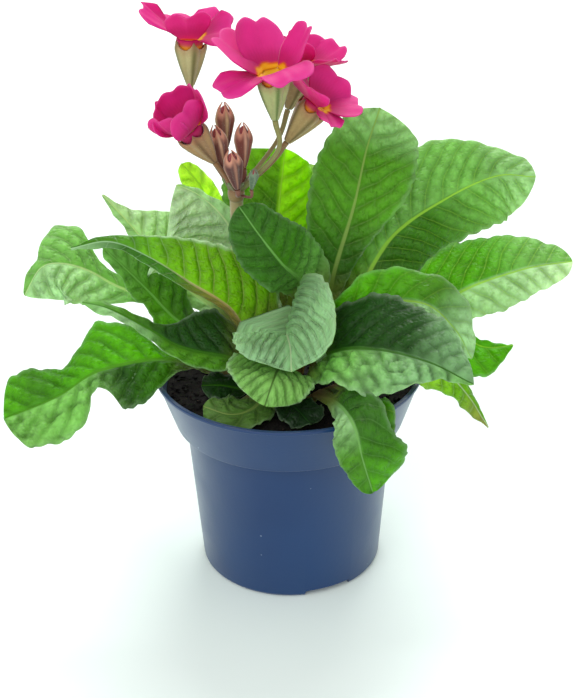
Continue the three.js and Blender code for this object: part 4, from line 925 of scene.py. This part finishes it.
# Pot: blue plastic with a little dust on it
def pot_material():
    s = Shader("pot_plastic")
    blotch = s.step(s.noise(14, 3.0), 0.3, 0.75)
    colour = s.mix(blotch, screen(8, 46, 92), screen(12, 54, 102))
    dust = s.node("ShaderNodeTexVoronoi", Scale=260, Vector=s.where())
    speck = s.step(dust.outputs["Distance"], 0.06, 0.11, 1, 0)
    pick = s.node("ShaderNodeSeparateXYZ", Vector=dust.outputs["Color"]).outputs[0]
    speck = s.times(s.times(speck, s.math("GREATER_THAN", pick, 0.93)), 0.6)
    colour = s.mix(speck, colour, screen(150, 170, 186))
    gloss = s.step(s.noise(60, 4.0), 0.3, 0.8, 0.3, 0.4)
    return s.skin(colour, s.bump(s.noise(700, 3.0), 0.0001, 0.25), Roughness=gloss, Specular_IOR_Level=0.4,
                  Sheen_Weight=0.12, Sheen_Roughness=0.5, Sheen_Tint=(0.8, 0.93, 1.0))


COLLAR_BASE = POT_HEIGHT - COLLAR_HEIGHT
LEDGE = COLLAR_BASE + WALL
LIP_BASE = POT_HEIGHT - LIP_HEIGHT


# Radius of the inner wall at a height: the body's below the ledge, the collar's from the ledge up
def wall_radius(z):
    if z < LEDGE:
        low, high = (FOOT_RADIUS, 0), (BODY_TOP_RADIUS, COLLAR_BASE)
    else:
        low, high = (COLLAR_FOOT_RADIUS, COLLAR_BASE), (RIM_RADIUS - LIP_WIDTH, LIP_BASE)
    return low[0] + (high[0] - low[0]) * (z - low[1]) / (high[1] - low[1]) - WALL


# The outline through corners (r, z, radius), each rounded to its radius
def rounded(corners, steps=4):
    points = []
    for k, (r, z, size) in enumerate(corners):
        here = np.array([r, z], float)
        if not size:
            points.append(here)
            continue
        before, after = (np.array(corners[near][:2], float) - here for near in (k - 1, k + 1))
        start, end = (here + unit(edge) * min(size, 0.45 * np.linalg.norm(edge)) for edge in (before, after))
        for t in np.linspace(0, 1, steps + 1):
            points.append((1 - t) ** 2 * start + 2 * t * (1 - t) * here + t**2 * end)
    return np.array(points)


# A closed bar between two outlines, turned about the pot's axis, to cut with
def cutter(low, high, degrees):
    count = len(low)
    faces = [list(range(count))[::-1], list(range(count, 2 * count))]
    faces += [[k, (k + 1) % count, (k + 1) % count + count, k + count] for k in range(count)]
    bar = mesh_object("cutter", [low, high], faces)
    bar.data.transform(Matrix.Rotation(math.radians(degrees), 4, "Z"))
    return bar


def notch_cutter(degrees):
    half, height, size = NOTCH["width"] / 2, NOTCH["height"], NOTCH["round"]
    outline = [(-half, -height), (half, -height)]
    for side, first in ((1, 0), (-1, math.pi / 2)):
        for angle in np.linspace(first, first + math.pi / 2, 6):
            outline.append((side * (half - size) + math.cos(angle), height - size + math.sin(angle)))
    ends = (FOOT_RADIUS - NOTCH["depth"] / 2, FOOT_RADIUS + NOTCH["depth"] / 2)
    return cutter(*([(x, y, z) for y, z in outline] for x in ends), degrees)


def drain_cutter(degrees):
    ends = (FLOOR_LIFT - DRAIN["past"], FLOOR_LIFT + WALL + DRAIN["past"])
    circle = [(DRAIN["ring"] + DRAIN["radius"] * math.cos(a), DRAIN["radius"] * math.sin(a))
              for a in around(DRAIN["sides"])]
    return cutter(*([(x, y, z) for x, y in circle] for z in ends), degrees)


def pot_object(material):
    inner_rim = RIM_RADIUS - LIP_WIDTH - WALL
    foot_outer = FOOT_RADIUS - FOOT_BEVEL
    foot_inner = foot_outer - FOOT_RING
    floor_top = FLOOR_LIFT + WALL
    rings = turned(rounded([
        (0, 0, 0), (STUD_RADIUS, 0, 0.5), (STUD_RADIUS, FLOOR_LIFT, 0.8), (foot_inner, FLOOR_LIFT, 0.5),
        (foot_inner, 0, 0.3), (foot_outer, 0, 0.5), (FOOT_RADIUS, FOOT_BEVEL, 0.6),
        (BODY_TOP_RADIUS, COLLAR_BASE, 0.5), (COLLAR_FOOT_RADIUS, COLLAR_BASE, 0.7),
        (RIM_RADIUS - LIP_WIDTH, LIP_BASE, 0.2), (RIM_RADIUS, LIP_BASE + 0.3, 0.3),
        (RIM_RADIUS, POT_HEIGHT, 0.35), (inner_rim, POT_HEIGHT, 0.3), (inner_rim, LIP_BASE, 0.3),
        (wall_radius(LEDGE), LEDGE, 0.5), (BODY_TOP_RADIUS - WALL, LEDGE, 0.4),
        (wall_radius(floor_top), floor_top, 0.6), (0, floor_top, 0),
    ]), POT_SIDES)
    piece = mesh_object("pot_shell", rings, grid_faces(*rings.shape[:2], closed=True), material)
    cutters = [make(size["first"] + 360 * k / size["count"])
               for make, size in ((notch_cutter, NOTCH), (drain_cutter, DRAIN)) for k in range(size["count"])]
    for bar in cutters:
        cut = piece.modifiers.new("cut", "BOOLEAN")
        cut.operation = "DIFFERENCE"
        cut.solver = "EXACT"
        cut.object = bar
    cut_mesh = bpy.data.meshes.new_from_object(piece.evaluated_get(bpy.context.evaluated_depsgraph_get()))
    piece.modifiers.clear()
    piece.data = cut_mesh
    for bar in cutters:
        bpy.data.objects.remove(bar)
    piece.data.set_sharp_from_angle(angle=math.radians(SHARP_ANGLE))
    seat(piece, "pot")


# Soil: a rough top with crumbs and fibres of peat on it
def soil_material():
    s = Shader("peat")
    colour = s.mix(s.step(s.noise(380, 5.0), 0.3, 0.75), screen(11, 10, 11), screen(34, 28, 25))
    fleck = s.times(s.step(s.noise(1400, 2.0), 0.68, 0.75), 0.5)
    colour = s.mix(fleck, colour, screen(108, 82, 56))
    return s.skin(colour, s.bump(s.noise(900, 5.0), 0.0006, 0.9), Roughness=0.9, Specular_IOR_Level=0.25)


def soil_height(x, y):
    p = Vector((x, y, 0))
    return SOIL_TOP + 1.0 * noise.noise(p / 17) + 0.55 * noise.noise(p / 4.5) + 0.3 * noise.noise(p / 1.6)


def soil_object(material):
    reach = wall_radius(SOIL_TOP) - CLEAR
    rings = int(reach / SOIL_CELL)
    step, base = LEDGE + CLEAR, FLOOR_LIFT + WALL + CLEAR
    circle = [(math.cos(a), math.sin(a)) for a in around(SOIL_SIDES)]
    points = [(0, 0, soil_height(0, 0))]
    for k in range(1, rings + 1):
        drop = SOIL_EDGE_DROP * (k == rings)
        flat = [(reach * k / rings * x, reach * k / rings * y) for x, y in circle]
        points += [(x, y, soil_height(x, y) - drop) for x, y in flat]
    skirt = [(wall_radius(step) - CLEAR, step), (BODY_TOP_RADIUS - WALL - CLEAR, step),
             (wall_radius(base) - CLEAR, base)]
    points += [(r * x, r * y, z) for r, z in skirt for x, y in circle] + [(0, 0, base)]
    rows = rings + len(skirt)
    last = 1 + (rows - 1) * SOIL_SIDES
    faces = [[0, 1 + j, 1 + (j + 1) % SOIL_SIDES] for j in range(SOIL_SIDES)]
    faces += grid_faces(rows, SOIL_SIDES, 1, closed=True, flip=True).tolist()
    faces += [[last + (j + 1) % SOIL_SIDES, last + j, len(points) - 1] for j in range(SOIL_SIDES)]
    rng = np.random.default_rng(SOIL_SEED)
    for _ in range(CRUMBS):
        add_crumb(points, faces, rng)
    for _ in range(FIBRES):
        add_fibre(points, faces, rng)
    seat(mesh_object("soil_peat", points, faces, material), "soil")


CUBE = np.array([(x, y, z) for x in (-1, 1) for y in (-1, 1) for z in (-1, 1)], float)
CUBE_FACES = [(0, 1, 3, 2), (4, 6, 7, 5), (0, 4, 5, 1), (2, 3, 7, 6), (0, 2, 6, 4), (1, 5, 7, 3)]


def scattered(rng, reach):
    r, a = reach * math.sqrt(rng.random()), 2 * math.pi * rng.random()
    return r * math.cos(a), r * math.sin(a)


def add_crumb(points, faces, rng):
    x, y = scattered(rng, SCATTER)
    size = rng.uniform(0.35, 1.3) * np.array([1, rng.uniform(0.5, 1), rng.uniform(0.4, 0.9)])
    shape = CUBE * rng.uniform(0.6, 1.1, (8, 3)) * size * 0.7
    turn = np.array(Matrix.Rotation(rng.uniform(0, 6.3), 3, Vector(rng.normal(size=3)).normalized()))
    start = len(points)
    points += (shape @ turn.T + (x, y, soil_height(x, y) + 0.25 * size[2])).tolist()
    faces += [[start + k for k in face] for face in CUBE_FACES]


# A thin three-sided strand that bends and lies on the soil
def add_fibre(points, faces, rng):
    x, y = scattered(rng, 0.96 * SCATTER)
    turn, long = rng.uniform(0, 6.3), rng.uniform(2, 6)
    step = np.array([math.cos(turn), math.sin(turn), 0]) * long / FIBRE_STEPS
    side = np.array([-step[1], step[0], 0]) / np.linalg.norm(step) * FIBRE_HALF
    start = len(points)
    bend = rng.uniform(-0.4, 0.4)
    for k in range(FIBRE_STEPS + 1):
        at = np.array([x, y, 0]) + step * k + side * bend * k * k
        z = soil_height(at[0], at[1]) + 0.35 + 0.3 * math.sin(k)
        points += [(*(at + side)[:2], z), (*(at - side)[:2], z), (at[0], at[1], z - 0.3)]
    for b in range(start, start + 3 * FIBRE_STEPS, 3):
        faces += [[b + i, b + 3 + i, b + 3 + j, b + j] for i, j in ((0, 1), (1, 2), (2, 0))]
    end = start + 3 * FIBRE_STEPS
    faces += [[start, start + 1, start + 2], [end + 2, end + 1, end]]


# Everything in place
leaf_skin = leaf_material()
for number, leaf_name in enumerate(LEAVES):
    leaf_object(leaf_name, number, leaf_skin)
flower_stalk_object(stalk_material("stalk_skin"))
calyx_skin = stalk_material("calyx_skin")
petal_skin = petal_material()
bud_skin = stalk_material("bud_skin")
for number, (flower_name, flower) in enumerate(FLOWERS.items()):
    calyx_object(f"calyx_{flower_name}", flower, calyx_skin)
    corolla_object(f"corolla_{flower_name}", flower, petal_skin, number)
for bud_name, bud in BUDS.items():
    bud_object(bud_name, bud, bud_skin)
pot_object(pot_material())
soil_object(soil_material())


# Floor, light and camera
FLOOR_HALF = 6000
FLOOR_COLOUR = (0.89, 0.985, 0.94)
SKY_STRENGTH = 0.68
SUNS = {"back": (2.4, 35, (-42, 10, 0)), "front": (1.3, 50, (48, -25, 0))}
CAMERA = {"place": (0, -518.646, 361.492), "pitch": 0.479, "yaw": -0.001, "roll": -0.016,
          "focal_px": 1500, "long_side_px": 698, "sensor": 36}


def floor():
    white = Shader("floor_white").skin(FLOOR_COLOUR, Roughness=0.9, Specular_IOR_Level=0.1)
    corners = [(x * FLOOR_HALF, y * FLOOR_HALF, 0) for x, y in ((-1, -1), (1, -1), (1, 1), (-1, 1))]
    mesh_object("floor", corners, [[0, 1, 2, 3]], white)


# strength, the width of the sun's disc and the degrees that it is tilted about X, Y and Z
def sun(name, strength, spread, tilt):
    lamp = bpy.data.lights.new(name, "SUN")
    lamp.energy = strength
    lamp.angle = math.radians(spread)
    holder = bpy.data.objects.new(name, lamp)
    holder.rotation_euler = tuple(math.radians(v) for v in tilt)
    bpy.context.scene.collection.objects.link(holder)


def sky(strength):
    world = bpy.data.worlds.new("studio")
    world.use_nodes = True
    back = world.node_tree.nodes["Background"]
    back.inputs["Color"].default_value = (1, 1, 1, 1)
    back.inputs["Strength"].default_value = strength
    bpy.context.scene.world = world


def camera():
    data = bpy.data.cameras.new("camera")
    data.sensor_fit = "AUTO"
    data.sensor_width = CAMERA["sensor"]
    data.lens = CAMERA["sensor"] * CAMERA["focal_px"] / CAMERA["long_side_px"]
    data.clip_start = 0.01
    data.clip_end = 50
    holder = bpy.data.objects.new("camera", data)
    yaw, pitch, roll = CAMERA["yaw"], CAMERA["pitch"], CAMERA["roll"]
    forward = Vector((math.sin(yaw) * math.cos(pitch), math.cos(yaw) * math.cos(pitch), -math.sin(pitch)))
    right = forward.cross(Vector((0, 0, 1))).normalized()
    up = right.cross(forward)
    right, up = right * math.cos(roll) + up * math.sin(roll), up * math.cos(roll) - right * math.sin(roll)
    turn = Matrix((right, up, -forward)).transposed().to_4x4()
    holder.matrix_world = Matrix.Translation([v * MM for v in CAMERA["place"]]) @ turn
    bpy.context.scene.collection.objects.link(holder)
    bpy.context.scene.camera = holder


camera()
floor()
sky(SKY_STRENGTH)
for sun_name, settings in SUNS.items():
    sun(sun_name, *settings)
bpy.context.scene.view_settings.view_transform = "Standard"
bpy.context.scene.view_settings.look = "None"
